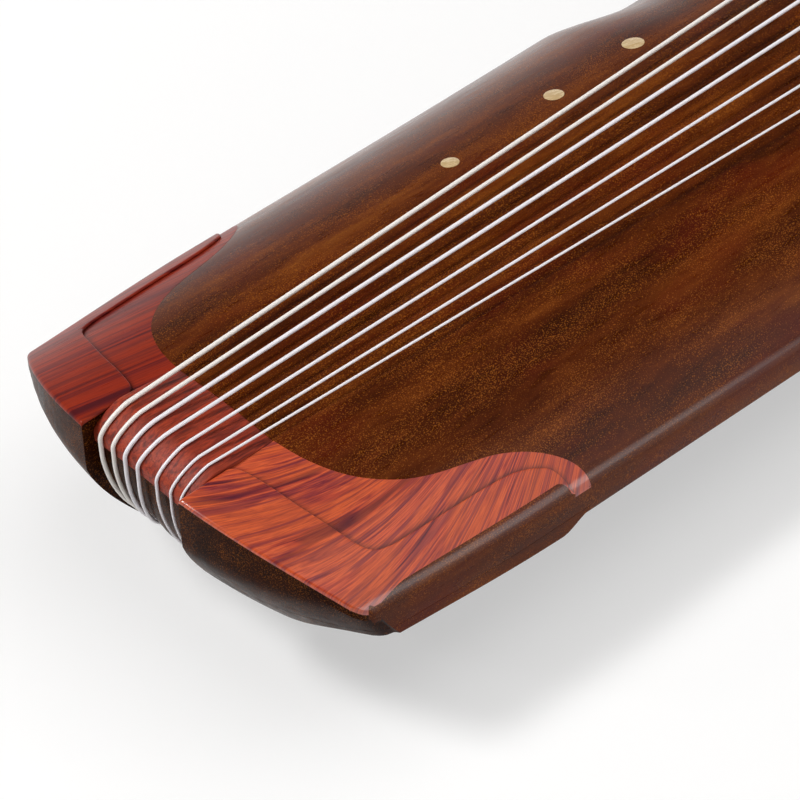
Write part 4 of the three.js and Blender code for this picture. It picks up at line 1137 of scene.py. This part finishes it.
def makeCorner(word, side, wood):
    shape = newShape()

    def place(s, w, t):
        return tailPlace(side, s, w, t, cornerTop, cornerBottom, cornerInnerX, corners["grow"])

    alongSteps = endSteps + shares(corners["alongSteps"]) + [("back", corners["backStep"]), ("back", 0)]
    # Outer sides take the board's lacquer; end faces and recess walls take the darker lacquer as painted
    # shade
    addBlock(shape, place, alongSteps, shares(corners["acrossSteps"]) + edgeRoll, [0, 0.5, 1],
             {"outer": 1, "end": 2, "recess": 2})
    pairs = rimPairs()
    sideStart = min(i for i, (outer, inner) in enumerate(pairs) if outer.y > halfWidth(0) - rim["sideFrom"])
    rings = []
    for i, (outer, inner) in enumerate(pairs):
        onSide = i >= sideStart
        grown = smoothstep(outer.x, *rim["rollGrows"]) if onSide else 0
        rings.append(rimRing(outer, inner, side, onSide, max(grown, rim["leastRoll"])))

    # The wall below the rim's outer edge has the board's lacquer along the side, and the darker lacquer on
    # the end as painted shade
    def paint(i, j):
        onSide = pairs[i][0].y > halfWidth(0) - rim["paintFrom"]
        if j == len(rings[0]) - 1:
            return 1 if onSide else 2
        return 1 if onSide and j < rim["lacquerOver"] else 0

    # The rim's caps at the recess take the darker lacquer as painted shade
    addLoft(shape, rings, paint, capPaint=2)
    mesh = buildMesh(f"crown_{word}", shape, [wood, boardLacquer, darkLacquerAndShade])
    setPattern(mesh, lambda p: cornerGrain(p, side))
    # Painted shade beside the rim, kept in the 'hollow' value for the wood to read
    setShade(mesh, "hollow", besideRim)
    return addPiece(f"crown_{word}_polished", mesh, f"crown_corner_{word}")


def makeLowerCorner(word, side):
    shape = newShape()
    steps = shares(corners["lowerSteps"])
    rows = corners["lowerRows"]

    def place(s, w, t):
        return tailPlace(side, s, w, t, lowerCornerTop, keel, cornerInnerX, corners["lowerGrow"])

    # Only the outer side takes the board's lacquer; the rest takes the darker lacquer, which is painted
    # shade on the end face and recess wall
    addBlock(shape, place, endSteps + steps + [("back", 0)], steps + edgeRoll,
             [k / rows for k in range(rows + 1)], {"outer": 1})
    mesh = buildMesh(f"lower_crown_{word}", shape, [darkLacquerAndShade, boardLacquer])
    return addPiece(f"lower_crown_{word}_lacquered", mesh, f"lower_crown_{word}")


for word, side, wood in (("far", 1, farWood), ("near", -1, nearWood)):
    crown = makeCorner(word, side, wood)
    makeLowerCorner(word, side)
    print(f"crown {word}:", len(crown.data.polygons), "faces")

# Tail nut and the block under it
nut = {
    "back": 20, "reach": 10.4, "depth": 9, "ridgeHeight": 2, "ridgeRadius": 5, "edgeRadius": 2.5,
    "backSlope": 8, "frontSlope": 30, "faceHeight": 3.2, "steps": 16,
    "frontStart": 100, "frontHandle": 3.4, "edgeHandle": 2.8,
    "supportCurve": 12, "supportSetBack": 1, "supportProud": 1, "humpY": -3.5, "humpWidth": 4.5, "hump": 3.4,
    "supportSteps": 40, "sideGap": 0.1, "softened": 0.3,
}
nutHalfWidth = tail["recessHalfWidth"] - nut["sideGap"]
frontNormal = 90 + nut["frontSlope"]
ridgeZ = nut["ridgeHeight"] - nut["ridgeRadius"]
edgeX = nut["edgeRadius"] - nut["reach"]
edgeZ = ridgeZ + (nut["ridgeRadius"] - nut["edgeRadius"] - edgeX * math.cos(math.radians(frontNormal))) \
    / math.sin(math.radians(frontNormal))
supportTop = -nut["depth"] - clearance
supportDrop = body["tailThickness"] + nut["supportProud"] + supportTop
supportX = nut["supportCurve"] - nut["reach"] + nut["supportSetBack"]


# Front of the nut, from its ridge round to its face, grown outward
def nutFront(grow=0.0):
    turn = math.radians(nut["frontStart"])
    start = Vector((nut["ridgeRadius"] * math.cos(turn), ridgeZ + nut["ridgeRadius"] * math.sin(turn)))
    end = Vector((-nut["reach"], edgeZ))
    # a cubic curve through four handles
    handles = [start, start + Vector((-math.sin(turn), math.cos(turn))) * nut["frontHandle"],
               end + Vector((0, nut["edgeHandle"])), end]
    points = []
    for k in range(nut["steps"] + 1):
        t = k / nut["steps"]
        weights = [(1 - t) ** 3, 3 * t * (1 - t) ** 2, 3 * t * t * (1 - t), t ** 3]
        place = sum((h * w for h, w in zip(handles, weights)), Vector((0, 0)))
        run = ((handles[1] - handles[0]) * (1 - t) ** 2 + (handles[2] - handles[1]) * 2 * t * (1 - t)
               + (handles[3] - handles[2]) * t * t).normalized()
        points.append(tuple(place + Vector((run.y, -run.x)) * grow))
    return points


def makeNut():
    face = -nut["reach"]
    ridge = arc(0, ridgeZ, nut["ridgeRadius"], 90 - nut["backSlope"], nut["frontStart"], 6)
    outline = [(nut["back"], -nut["depth"]), (nut["back"], 0)] + ridge[:-1] + nutFront()
    outline += [(face, edgeZ - nut["faceHeight"]), (face + nut["edgeRadius"], -nut["depth"])]
    rings = []
    for y in evenly(nutHalfWidth, nut["steps"]):
        fall = boardTop(nut["back"], y)
        rings.append([(x, y, z + (fall if z > -nut["depth"] else 0)) for x, z in outline])
    softenEdges(addLofted("tail_nut", "polished", rings, nutWood), nut["softened"], 2)


def makeSupport():
    rings = []
    for y in evenly(nutHalfWidth, nut["supportSteps"]):
        drop = supportDrop + nut["hump"] * math.exp(-((y - nut["humpY"]) / nut["humpWidth"]) ** 2)
        outline = [(tail["blockEnd"], supportTop)]
        outline += arc(supportX, supportTop, nut["supportCurve"], 180, 270, 20, drop)
        outline += [(tail["blockEnd"], supportTop - drop)]
        rings.append([(x, y, z) for x, z in outline])
    addLofted("tail_nut_support", "lacquered", rings, darkLacquerAndShade)


makeNut()
makeSupport()
print("tail nut and support made")

# Bridge and the flush strip behind it
bridge = {"thickness": 12, "halfLength": 74, "height": 17, "fallAtEnds": 9, "endRun": 11, "topRadius": 3,
          "topFall": 2, "inlayDepth": 3, "stripWidth": 17, "stripProud": 0.1,
          "steps": 64, "stripSteps": 48, "softened": 0.8, "stripSoftened": 0.25}


def bridgeTop(y):
    fall = smoothstep(abs(y), bridge["halfLength"] - bridge["endRun"], bridge["halfLength"])
    return boardTop(bridgeX, y) + bridge["height"] - bridge["fallAtEnds"] * fall


def makeBridge():
    back = bridgeX + bridge["thickness"]
    radius = bridge["topRadius"]
    lead = arc(bridgeX + radius, -radius, radius, 180, 80, 8)
    top = lead + [(back - bridge["topFall"], -bridge["topFall"] / 2), (back, -bridge["topFall"])]
    rings = []
    for y in evenly(bridge["halfLength"], bridge["steps"]):
        base = boardTop(bridgeX, y) - bridge["inlayDepth"]
        rings.append([(bridgeX, y, base)] + [(x, y, bridgeTop(y) + z) for x, z in top] + [(back, y, base)])
    softenEdges(addLofted("bridge", "polished", rings, headWood), bridge["softened"])


def makeStrip():
    x0 = bridgeX + bridge["thickness"] + clearance
    x1 = x0 + bridge["stripWidth"]
    rings = []
    for y in evenly(bridge["halfLength"], bridge["stripSteps"]):
        high = boardTop(bridgeX, y) + bridge["stripProud"]
        low = high - bridge["inlayDepth"]
        rings.append([(x0, y, low), (x0, y, high), (x1, y, high), (x1, y, low)])
    piece = addLofted("peg_hole_strip", "polished", rings, headWood)
    cutEyes(piece, underWork, headWood)
    softenEdges(piece, bridge["stripSoftened"], 2)


makeBridge()
makeStrip()
print("bridge and strip made")

# Goose feet and peg guards
feet = {"x": 327.04, "y": 42, "neckRadius": 11, "neckLead": 0.3, "soleHalf": 14, "soleHeight": 5,
        "collarHalf": 13, "collarHeight": 1.2, "tenonHalf": 7, "tenonRadius": 1.75, "tenonDepth": 5,
        "flare": 2.5}
guards = {"y": 77, "length": 44, "width": 12, "taperShare": 0.86, "tenonShare": 0.6}
tableZ = -shift.z
footTop = underside(feet["x"] + feet["collarHalf"]) - clearance
footNeckTop = footTop - feet["collarHeight"]


def ringAt(x, y, halfX, halfY, radius, z):
    return [(px, py, z) for px, py in roundedRectangle(x, y, halfX, halfY, radius)]


def makeFoot(word, side):
    x, y = feet["x"], side * feet["y"]
    neck, sole, collar = feet["neckRadius"], feet["soleHalf"], feet["collarHalf"]
    tenon = feet["tenonHalf"]
    rings = [ringAt(x, y, tenon, tenon, feet["tenonRadius"], z)
             for z in (underside(x) + feet["tenonDepth"], footTop)]
    # the collar's rounded edge: how far each ring is set in, and how far down it lies
    for inset, drop in ((0.5, 0), (0.12, 0.15), (0, 0.4), (0, 0.8), (0.12, 1.05), (0.5, 1.2)):
        rings.append(ringAt(x, y, collar - inset, collar - inset, collar / 2, footTop - drop))
    flareTop = feet["soleHeight"] + feet["flare"] + tableZ
    rings += [ringAt(x, y, neck, neck, neck - 0.01, z) for z in (footNeckTop - feet["neckLead"], flareTop)]
    for k in range(1, 7):
        share = k / 6
        half = lerp(neck, sole, 1 - math.cos(share * math.pi / 2))
        radius = lerp(neck, sole / 3, share)
        rings.append(ringAt(x, y, half, half, radius, lerp(flareTop, feet["soleHeight"] + tableZ, share)))
    # the sole, and its rounded lower edge
    for height, inset in ((4.2, 0), (0.9, 0), (0.3, 0.25), (0, 0.8)):
        rings.append(ringAt(x, y, sole - inset, sole - inset, sole / 3, height + tableZ))
    addLofted(f"goose_foot_{word}", "turned", rings, headWood)


def makeGuard(word, side):
    x, y = pool["eyeX"], side * guards["y"]
    top = underside(x) - clearance

    def ring(share, z, inset=0.0):
        halfX = guards["length"] / 2 * share - inset
        halfY = guards["width"] / 2 * share - inset
        return ringAt(x, y, halfX, halfY, halfY * 0.6, z)

    rings = [ring(guards["tenonShare"], underside(x) + feet["tenonDepth"]), ring(guards["tenonShare"], top),
             ring(1, top, 0.4), ring(1, top - 0.3, 0.1), ring(1, top - 0.8)]
    for k in range(13):
        share = k / 12
        rings.append(ring(lerp(1, guards["taperShare"], smoothstep(share, 0.3, 1.25) * 1.15),
                          lerp(top - 1, tableZ + 1, share)))
    rings += [ring(guards["taperShare"], tableZ + 0.3, 0.25), ring(guards["taperShare"], tableZ, 0.8)]
    addLofted(f"peg_guard_{word}", "polished", rings, headWood)


for word, side in (("far", 1), ("near", -1)):
    makeFoot(word, side)
    makeGuard(word, side)
print("feet and guards made")

# Tuning pegs: eight-sided, waisted, bored from above for the cord
pegs = {"length": 38, "headRadius": 8, "waistRadius": 5, "bellyRadius": 6.4, "endRadius": 3, "boreDepth": 26,
        "facets": 8, "softened": 0.35}
pegTop = underside(pool["eyeX"]) + pool["depth"] - clearance


def makePeg(i):
    length = pegs["length"]
    # height as a share of the length, radius
    waypoints = [(0, pegs["headRadius"]), (0.1, pegs["headRadius"]), (0.2, pegs["waistRadius"]),
                 (0.45, pegs["bellyRadius"]), (0.62, pegs["bellyRadius"]), (0.96, pegs["endRadius"] * 1.25),
                 (1, pegs["endRadius"])]
    profile = [(pegs["boreDepth"] / length, 0.01), (pegs["boreDepth"] / length, pool["eyeRadius"]),
               (0, pool["eyeRadius"])] + waypoints + [(1, 0.01)]
    facets, bore = pegs["facets"], pool["eyeRadius"]
    facet = 2 * math.pi / facets  # angle of one facet, whose middle lies nearer the axis than its edges
    rings = []
    for share, radius in profile:
        ring = []
        for k in range(facets * 3):
            angle = facet * k / 3
            inFacet = (angle + 1e-9) % facet - facet / 2
            reach = radius * math.cos(facet / 2) / math.cos(inFacet) if radius > bore else radius
            ring.append((pool["eyeX"] + reach * math.cos(angle), bridgeY(i) + reach * math.sin(angle),
                         pegTop - length * share))
        rings.append(ring)
    piece = addLofted(f"tuning_peg_{i + 1}", "carved", rings, headWood, f"peg_{i + 1}", 20)
    softenEdges(piece, pegs["softened"], 2, 25)


for i in range(stringCount):
    makePeg(i)
print("pegs made")

# Strings, the first and thickest on the far side
strings = {
    "diameters": [1.4, 1.25, 1.25, 1.15, 0.95, 0.85, 0.75],
    "firstAtTail": 16.4,
    "tailShares": [1, 0.652, 0.317, -0.061, -0.445, -0.817, -1.055],
    "edgeShares": [1, 0.671, 0.354, 0.03, -0.445, -0.805, -1.055],
    "keelShares": [0.52, 0.44, 0.37, 0.29, -0.81, -0.93, -1.05],
    "drawPower": 1.5, "onFarFoot": 4, "knotRadius": 2.6, "knotDip": 1.6, "turns": 2, "turnGap": 0.45,
    "stepsPerTurn": 48, "firstTurnDrop": 1.4, "creamOnes": 2, "offWood": 0.03, "offFoot": 0.05,
    "knotSteps": 72, "knotSides": 10,
}
cords = {"radius": 0.7, "spread": 1, "depthInPeg": 22, "loopGap": 0.35, "pitch": 4.2, "step": 0.35,
         "plyShare": 0.52, "plySpread": 0.92, "plySides": 8}


# Knot of a string behind the bridge, with room for its cord between the two
def knotCentre(i):
    y = bridgeY(i)
    reach = 2 * (cords["radius"] + cords["loopGap"]) + strings["knotRadius"] + cords["loopGap"]
    return Vector((bridgeX + bridge["thickness"] + reach, y, bridgeTop(y) - strings["knotDip"]))


def turnPitch(i):
    return strings["diameters"][i] + strings["turnGap"]


# Height of the first turn of a string on its foot, below those wound before it
def firstTurnLevel(i):
    level = footNeckTop - strings["firstTurnDrop"]
    for k in range(0 if i < strings["onFarFoot"] else strings["onFarFoot"], i):
        level -= turnPitch(k) * strings["turns"] + (turnPitch(k) + turnPitch(k + 1)) / 2
    return level


def footWinding(i):
    side = 1 if i < strings["onFarFoot"] else -1
    radius = feet["neckRadius"] + strings["diameters"][i] / 2 + strings["offFoot"]
    points = []
    for k in range(strings["turns"] * strings["stepsPerTurn"] + 1):
        turned = k / strings["stepsPerTurn"]
        angle = side * (turned * 2 * math.pi - math.pi / 2)
        points.append((feet["x"] + radius * math.cos(angle), side * feet["y"] + radius * math.sin(angle),
                       firstTurnLevel(i) - turnPitch(i) * turned))
    return points


# From the knot over the bridge and the nut, down the support and round the foot
def stringRoute(i):
    touch = strings["diameters"][i] / 2 + strings["offWood"]
    yBridge = bridgeY(i)
    yTail, yEdge, yKeel = [strings["firstAtTail"] * strings[key][i]
                           for key in ("tailShares", "edgeShares", "keelShares")]
    radius = bridge["topRadius"]
    # from the knot over the bridge's edge, then over the ridge of the nut, in degrees of their arcs
    route = [tuple(knotCentre(i))]
    overBridge = arc(bridgeX + radius, bridgeTop(yBridge) - radius, radius + touch, 75, 96, 4)
    route += [(x, yBridge, z) for x, z in overBridge]
    fall = boardTop(0, yTail)
    route += [(x, yTail, z) for x, z in arc(0, ridgeZ + fall, nut["ridgeRadius"] + touch, 90, 98, 3)]
    front = nutFront(touch)
    route += [(x, lerp(yTail, yEdge, k / (len(front) - 1)), z + fall) for k, (x, z) in enumerate(front)]
    # down the support, drawing together
    face = arc(supportX, supportTop, nut["supportCurve"] + nut["supportSetBack"] + touch, 184, 268, 16,
               supportDrop + touch)
    for k, (x, z) in enumerate(face):
        route.append((x, lerp(yEdge, yKeel, ((k + 1) / len(face)) ** strings["drawPower"]), z))
    return route + footWinding(i)


# The knot: a three-lobed loop of the string drawn tight behind the bridge
def knotPath(i):
    centre = knotCentre(i)
    reach = (strings["knotRadius"] - strings["diameters"][i] / 2) / 3
    path = []
    for k in range(strings["knotSteps"]):
        t = 2 * math.pi * k / strings["knotSteps"]
        path.append(centre + reach * Vector((-math.sin(3 * t), math.sin(t) + 2 * math.sin(2 * t),
                                             math.cos(t) - 2 * math.cos(2 * t))))
    return path


for i in range(stringCount):
    shape = newShape()
    radius = strings["diameters"][i] / 2
    addTube(shape, stringRoute(i), radius)
    addTube(shape, knotPath(i), radius, strings["knotSides"], True)
    cover = creamCover if i < strings["creamOnes"] else whiteCover
    mesh = buildMesh(f"string_{i + 1}", shape, [cover], 80)
    addPiece(f"string_{i + 1}_wound", mesh, f"string_{i + 1}")
print("strings made")


# Tuning cords: two plies of silk twisted along a loop from the peg up round the string's knot
def cordPath(i):
    knot = knotCentre(i)
    y = bridgeY(i)
    around = strings["diameters"][i] / 2 + cords["radius"] + cords["loopGap"]
    loopX = knot.x - strings["knotRadius"] - cords["radius"] - cords["loopGap"]
    loopZ = knot.z + strings["knotDip"] / 3
    eyeX, spread = pool["eyeX"], cords["spread"]
    # up from the peg, over to the knot, and round the first half of the loop
    half = [(eyeX, spread, pegTop - cords["depthInPeg"]),
            (eyeX, spread, boardTop(bridgeX, y) + cords["radius"] * 2),
            (lerp(loopX, eyeX, 0.12), lerp(around, spread, 0.2), loopZ - around * 2)]
    for angle in (0, 22, 45, 68):
        turn = math.radians(angle)
        half.append((loopX, around * math.cos(turn), loopZ + around * math.sin(turn)))
    up = [(x, y + across, z) for x, across, z in half]
    down = [(x, y - across, z) for x, across, z in reversed(half)]
    return up + [(loopX, y, loopZ + around)] + down


# A Geometry Nodes tree that takes geometry, lengths and a material, and its inputs
def newTree(name, lengths, material):
    tree = bpy.data.node_groups.new(name, "GeometryNodeTree")
    sockets = [("Geometry", "Geometry"), *[(word, "Float") for word in lengths], (material, "Material")]
    for word, kind in sockets:
        tree.interface.new_socket(word, in_out="INPUT", socket_type=f"NodeSocket{kind}")
    tree.interface.new_socket("Geometry", in_out="OUTPUT", socket_type="NodeSocketGeometry")
    return tree, addNode(tree, "NodeGroupInput").outputs


# The tree's last steps: single instances made real, and painted
def endTree(tree, made, material):
    real = addNode(tree, "GeometryNodeRealizeInstances", None, {0: made})
    painted = addNode(tree, "GeometryNodeSetMaterial", None, {"Geometry": real, "Material": material})
    addNode(tree, "NodeGroupOutput", None, {0: painted})
    return tree


def twistedCordTree():
    tree, given = newTree("twistedCord", ("Ply radius", "Twist pitch", "Step"), "Silk")
    stepped = addNode(tree, "GeometryNodeResampleCurve", {"mode": "LENGTH"},
                      {"Curve": given[0], "Length": given["Step"]})
    along = addNode(tree, "GeometryNodeSplineParameter").outputs["Length"]
    turns = addNode(tree, "ShaderNodeMath", {"operation": "DIVIDE"}, {0: along, 1: given["Twist pitch"]})
    angle = addNode(tree, "ShaderNodeMath", {"operation": "MULTIPLY", 1: 2 * math.pi}, {0: turns})
    twisted = addNode(tree, "GeometryNodeSetCurveTilt", None, {"Curve": stepped, "Tilt": angle})
    ply = addNode(tree, "GeometryNodeCurvePrimitiveCircle", {"Resolution": cords["plySides"]},
                  {"Radius": given["Ply radius"]})
    plies = addNode(tree, "GeometryNodeJoinGeometry")
    for sign in (1, -1):
        offset = addNode(tree, "ShaderNodeMath", {"operation": "MULTIPLY", 1: sign * cords["plySpread"]},
                         {0: given["Ply radius"]})
        aside = addNode(tree, "ShaderNodeCombineXYZ", None, {"X": offset})
        placed = addNode(tree, "GeometryNodeTransform", None, {"Geometry": ply, "Translation": aside})
        linkInputs(tree, plies, {0: placed})
    swept = addNode(tree, "GeometryNodeCurveToMesh", {"Fill Caps": True},
                    {"Curve": twisted, "Profile Curve": plies})
    return endTree(tree, swept, given["Silk"])


# Sets a modifier's inputs through the identifiers of their sockets
def setInputs(modifier, values):
    for item in modifier.node_group.interface.items_tree:
        if item.item_type == "SOCKET" and item.in_out == "INPUT" and item.name in values:
            modifier[item.identifier] = values[item.name]


# Runs a tree on a curve or a mesh and keeps the result as a plain mesh
def treeMesh(name, source, tree, values, sharpAngle):
    holder = bpy.data.objects.new("holder", source)
    bpy.context.scene.collection.objects.link(holder)
    modifier = holder.modifiers.new("nodes", "NODES")
    modifier.node_group = tree
    setInputs(modifier, values)
    scene = bpy.context.evaluated_depsgraph_get()
    mesh = bpy.data.meshes.new_from_object(holder.evaluated_get(scene))
    mesh.name = name
    holder.modifiers.clear()
    bpy.data.objects.remove(holder)
    shade(mesh, sharpAngle)
    return mesh


cordTree = twistedCordTree()
for i in range(stringCount):
    path = cordPath(i)
    line = bpy.data.curves.new("cordLine", "CURVE")
    line.dimensions = "3D"
    spline = line.splines.new("BEZIER")
    spline.bezier_points.add(len(path) - 1)
    for spot, point in zip(spline.bezier_points, path):
        spot.co = toWorld(point)
        spot.handle_left_type = spot.handle_right_type = "AUTO"
    cordMesh = treeMesh(f"tuning_cord_{i + 1}", line, cordTree, {
        "Ply radius": cords["radius"] * mm * cords["plyShare"], "Twist pitch": cords["pitch"] * mm,
        "Step": cords["step"] * mm, "Silk": cordSilk}, 80)
    addPiece(f"tuning_cord_{i + 1}_twisted", cordMesh, f"tuning_cord_{i + 1}")
print("tuning cords made")

# Thirteen markers along the first string, largest in the middle
markers = {
    "shares": [7 / 8, 5 / 6, 4 / 5, 3 / 4, 2 / 3, 3 / 5, 1 / 2, 2 / 5, 1 / 3, 1 / 4, 1 / 5, 1 / 6, 1 / 8],
    "largeRadius": 5.2, "smallRadius": 2.9, "thickness": 1.2, "fromString": 12.3,
    "proud": 0.06, "edge": 0.05, "domeShare": 0.93, "sides": 40,
}


def markerTree():
    tree, given = newTree("inlaidDiscs", ("Thickness", "Edge"), "Shell")
    disc = addNode(tree, "GeometryNodeMeshCylinder", {"Vertices": markers["sides"], "Radius": 1},
                   {"Depth": given["Thickness"]}).outputs
    raised = addNode(tree, "GeometryNodeExtrudeMesh", {"mode": "FACES", "Individual": False},
                     {"Mesh": disc["Mesh"], "Selection": disc["Top"], "Offset Scale": given["Edge"]})
    domed = addNode(tree, "GeometryNodeScaleElements", {"Scale": markers["domeShare"]},
                    {0: raised, "Selection": raised.outputs[1]})
    normal, radius = [addNode(tree, "GeometryNodeInputNamedAttribute", {"data_type": kind, "Name": name})
                      for kind, name in (("FLOAT_VECTOR", "discNormal"), ("FLOAT", "discRadius"))]
    turned = addNode(tree, "FunctionNodeAlignRotationToVector", {"axis": "Z"}, {"Vector": normal})
    size = addNode(tree, "ShaderNodeCombineXYZ", {"Z": 1}, {"X": radius, "Y": radius})
    placed = addNode(tree, "GeometryNodeInstanceOnPoints", None,
                     {"Points": given[0], "Instance": domed, "Rotation": turned, "Scale": size})
    return endTree(tree, placed, given["Shell"])


def makeMarkers():
    middle = (len(markers["shares"]) - 1) / 2
    spots, normals, radii = [], [], []
    for i, share in enumerate(markers["shares"]):
        x = bridgeX * (1 - share)
        radius = lerp(markers["largeRadius"], markers["smallRadius"], abs(i - middle) / middle)
        y = lerp(strings["firstAtTail"], bridgeY(0), x / bridgeX) + markers["fromString"]
        step = radius / 2
        slopeX = (boardTop(x + step, y) - boardTop(x - step, y)) / (2 * step)
        slopeY = (boardTop(x, y + step) - boardTop(x, y - step)) / (2 * step)
        normal = Vector((-slopeX, -slopeY, 1)).normalized()
        sunk = markers["thickness"] / 2 - markers["proud"]
        spots.append(toWorld(Vector((x, y, boardTop(x, y))) - normal * sunk))
        normals.append(normal)
        radii.append(radius * mm)
    source = bpy.data.meshes.new("markerSpots")
    source.from_pydata(spots, [], [])
    source.attributes.new("discNormal", "FLOAT_VECTOR", "POINT").data.foreach_set(
        "vector", [value for normal in normals for value in normal])
    source.attributes.new("discRadius", "FLOAT", "POINT").data.foreach_set("value", radii)
    mesh = treeMesh("markers", source, markerTree(), {
        "Thickness": markers["thickness"] * mm, "Edge": markers["edge"] * mm, "Shell": shellDisc}, 30)
    addPiece("markers_shell", mesh, [f"marker_{i + 1:02d}" for i in range(len(spots))])


makeMarkers()
for name in ("sound_post_round", "sound_post_square"):
    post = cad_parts[name]
    post.data.materials.clear()
    post.data.materials.append(postWood)
print("markers and posts made")


# Floor, pale backdrop and soft light. The sky is dark overhead, so that polished faces keep their depth
studio = {
    "floor": [(0.3, "#c3c2c1"), (0.7, "#c5c4c3")], "lift": 0.46, "horizon": 1.0, "overhead": 0.04,
    "halfSize": 6000, "aim": (-0.5, 0, 0.05),
    # place in metres, size and power
    "lamps": {"key": ((-1.9, 1.2, 2.4), 0.7, 54), "ceiling": ((0.3, 0, 2.8), 3, 36),
              "fill": ((0.5, -1.7, 2.1), 2, 8), "rim": ((-2.34, 1.23, 1.1), 0.2, 3),
              "side": ((0.3, -1.81, 0.55), 0.8, 6)},
}


# White for the eye, the mirror and the glass; the lamps and shadows still show on what it is mixed with
def seenDirectly(tree):
    paths = addNode(tree, "ShaderNodeLightPath").outputs
    direct = addNode(tree, "ShaderNodeMath", {"operation": "MAXIMUM"},
                     {0: paths["Is Camera Ray"], 1: paths["Is Glossy Ray"]})
    return addNode(tree, "ShaderNodeMath", {"operation": "MAXIMUM"},
                   {0: direct, 1: paths["Is Transmission Ray"]})


def makeFloor():
    shape = newShape()
    edges = (-studio["halfSize"], studio["halfSize"])
    addGrid(shape, [[(x, y, tableZ) for x in edges] for y in edges])
    material, tree, shader = newMaterial("matt_paper", 0.9, 1.4, **{"Emission Color": "#ffffff"})
    fibres = addNode(tree, "ShaderNodeTexNoise", {"Scale": 1, "Detail": 2},
                     {0: objectPattern(tree, (400, 400, 400))})
    colour = addNode(tree, "ShaderNodeValToRGB", {"stops": studio["floor"]}, {0: fibres})
    lift = addNode(tree, "ShaderNodeMath", {"operation": "MULTIPLY", 1: studio["lift"]},
                   {0: seenDirectly(tree)})
    linkInputs(tree, shader, {"Base Color": colour, "Emission Strength": lift})
    floor = bpy.data.objects.new("floor", buildMesh("floor", shape, [material]))
    bpy.context.scene.collection.objects.link(floor)


def makeStudio():
    makeFloor()
    world = bpy.data.worlds.new("studio")
    bpy.context.scene.world = world
    world.use_nodes = True
    sky = world.node_tree
    sky.nodes.clear()
    coords = addNode(sky, "ShaderNodeTexCoord").outputs["Generated"]
    upward = addNode(sky, "ShaderNodeSeparateXYZ", None, {0: coords}).outputs[2]
    level = addNode(sky, "ShaderNodeMapRange", {"interpolation_type": "SMOOTHSTEP", 1: 0.02, 2: 0.5,
                                                3: studio["horizon"], 4: studio["overhead"]}, {0: upward})
    light = addNode(sky, "ShaderNodeBackground", {"Color": "#ffffff"}, {"Strength": level})
    addNode(sky, "ShaderNodeOutputWorld", None, {0: light})
    for name, (place, size, energy) in studio["lamps"].items():
        data = bpy.data.lights.new(name, "AREA")
        data.energy, data.size = energy, size
        lamp = bpy.data.objects.new(name, data)
        lamp.location = place
        lamp.visible_glossy = name != "ceiling"
        lamp.rotation_euler = (Vector(studio["aim"]) - lamp.location).to_track_quat("-Z", "Y").to_euler()
        bpy.context.scene.collection.objects.link(lamp)


makeStudio()
bpy.context.scene.view_settings.view_transform = "Standard"
bpy.context.view_layer.update()
print("studio made")
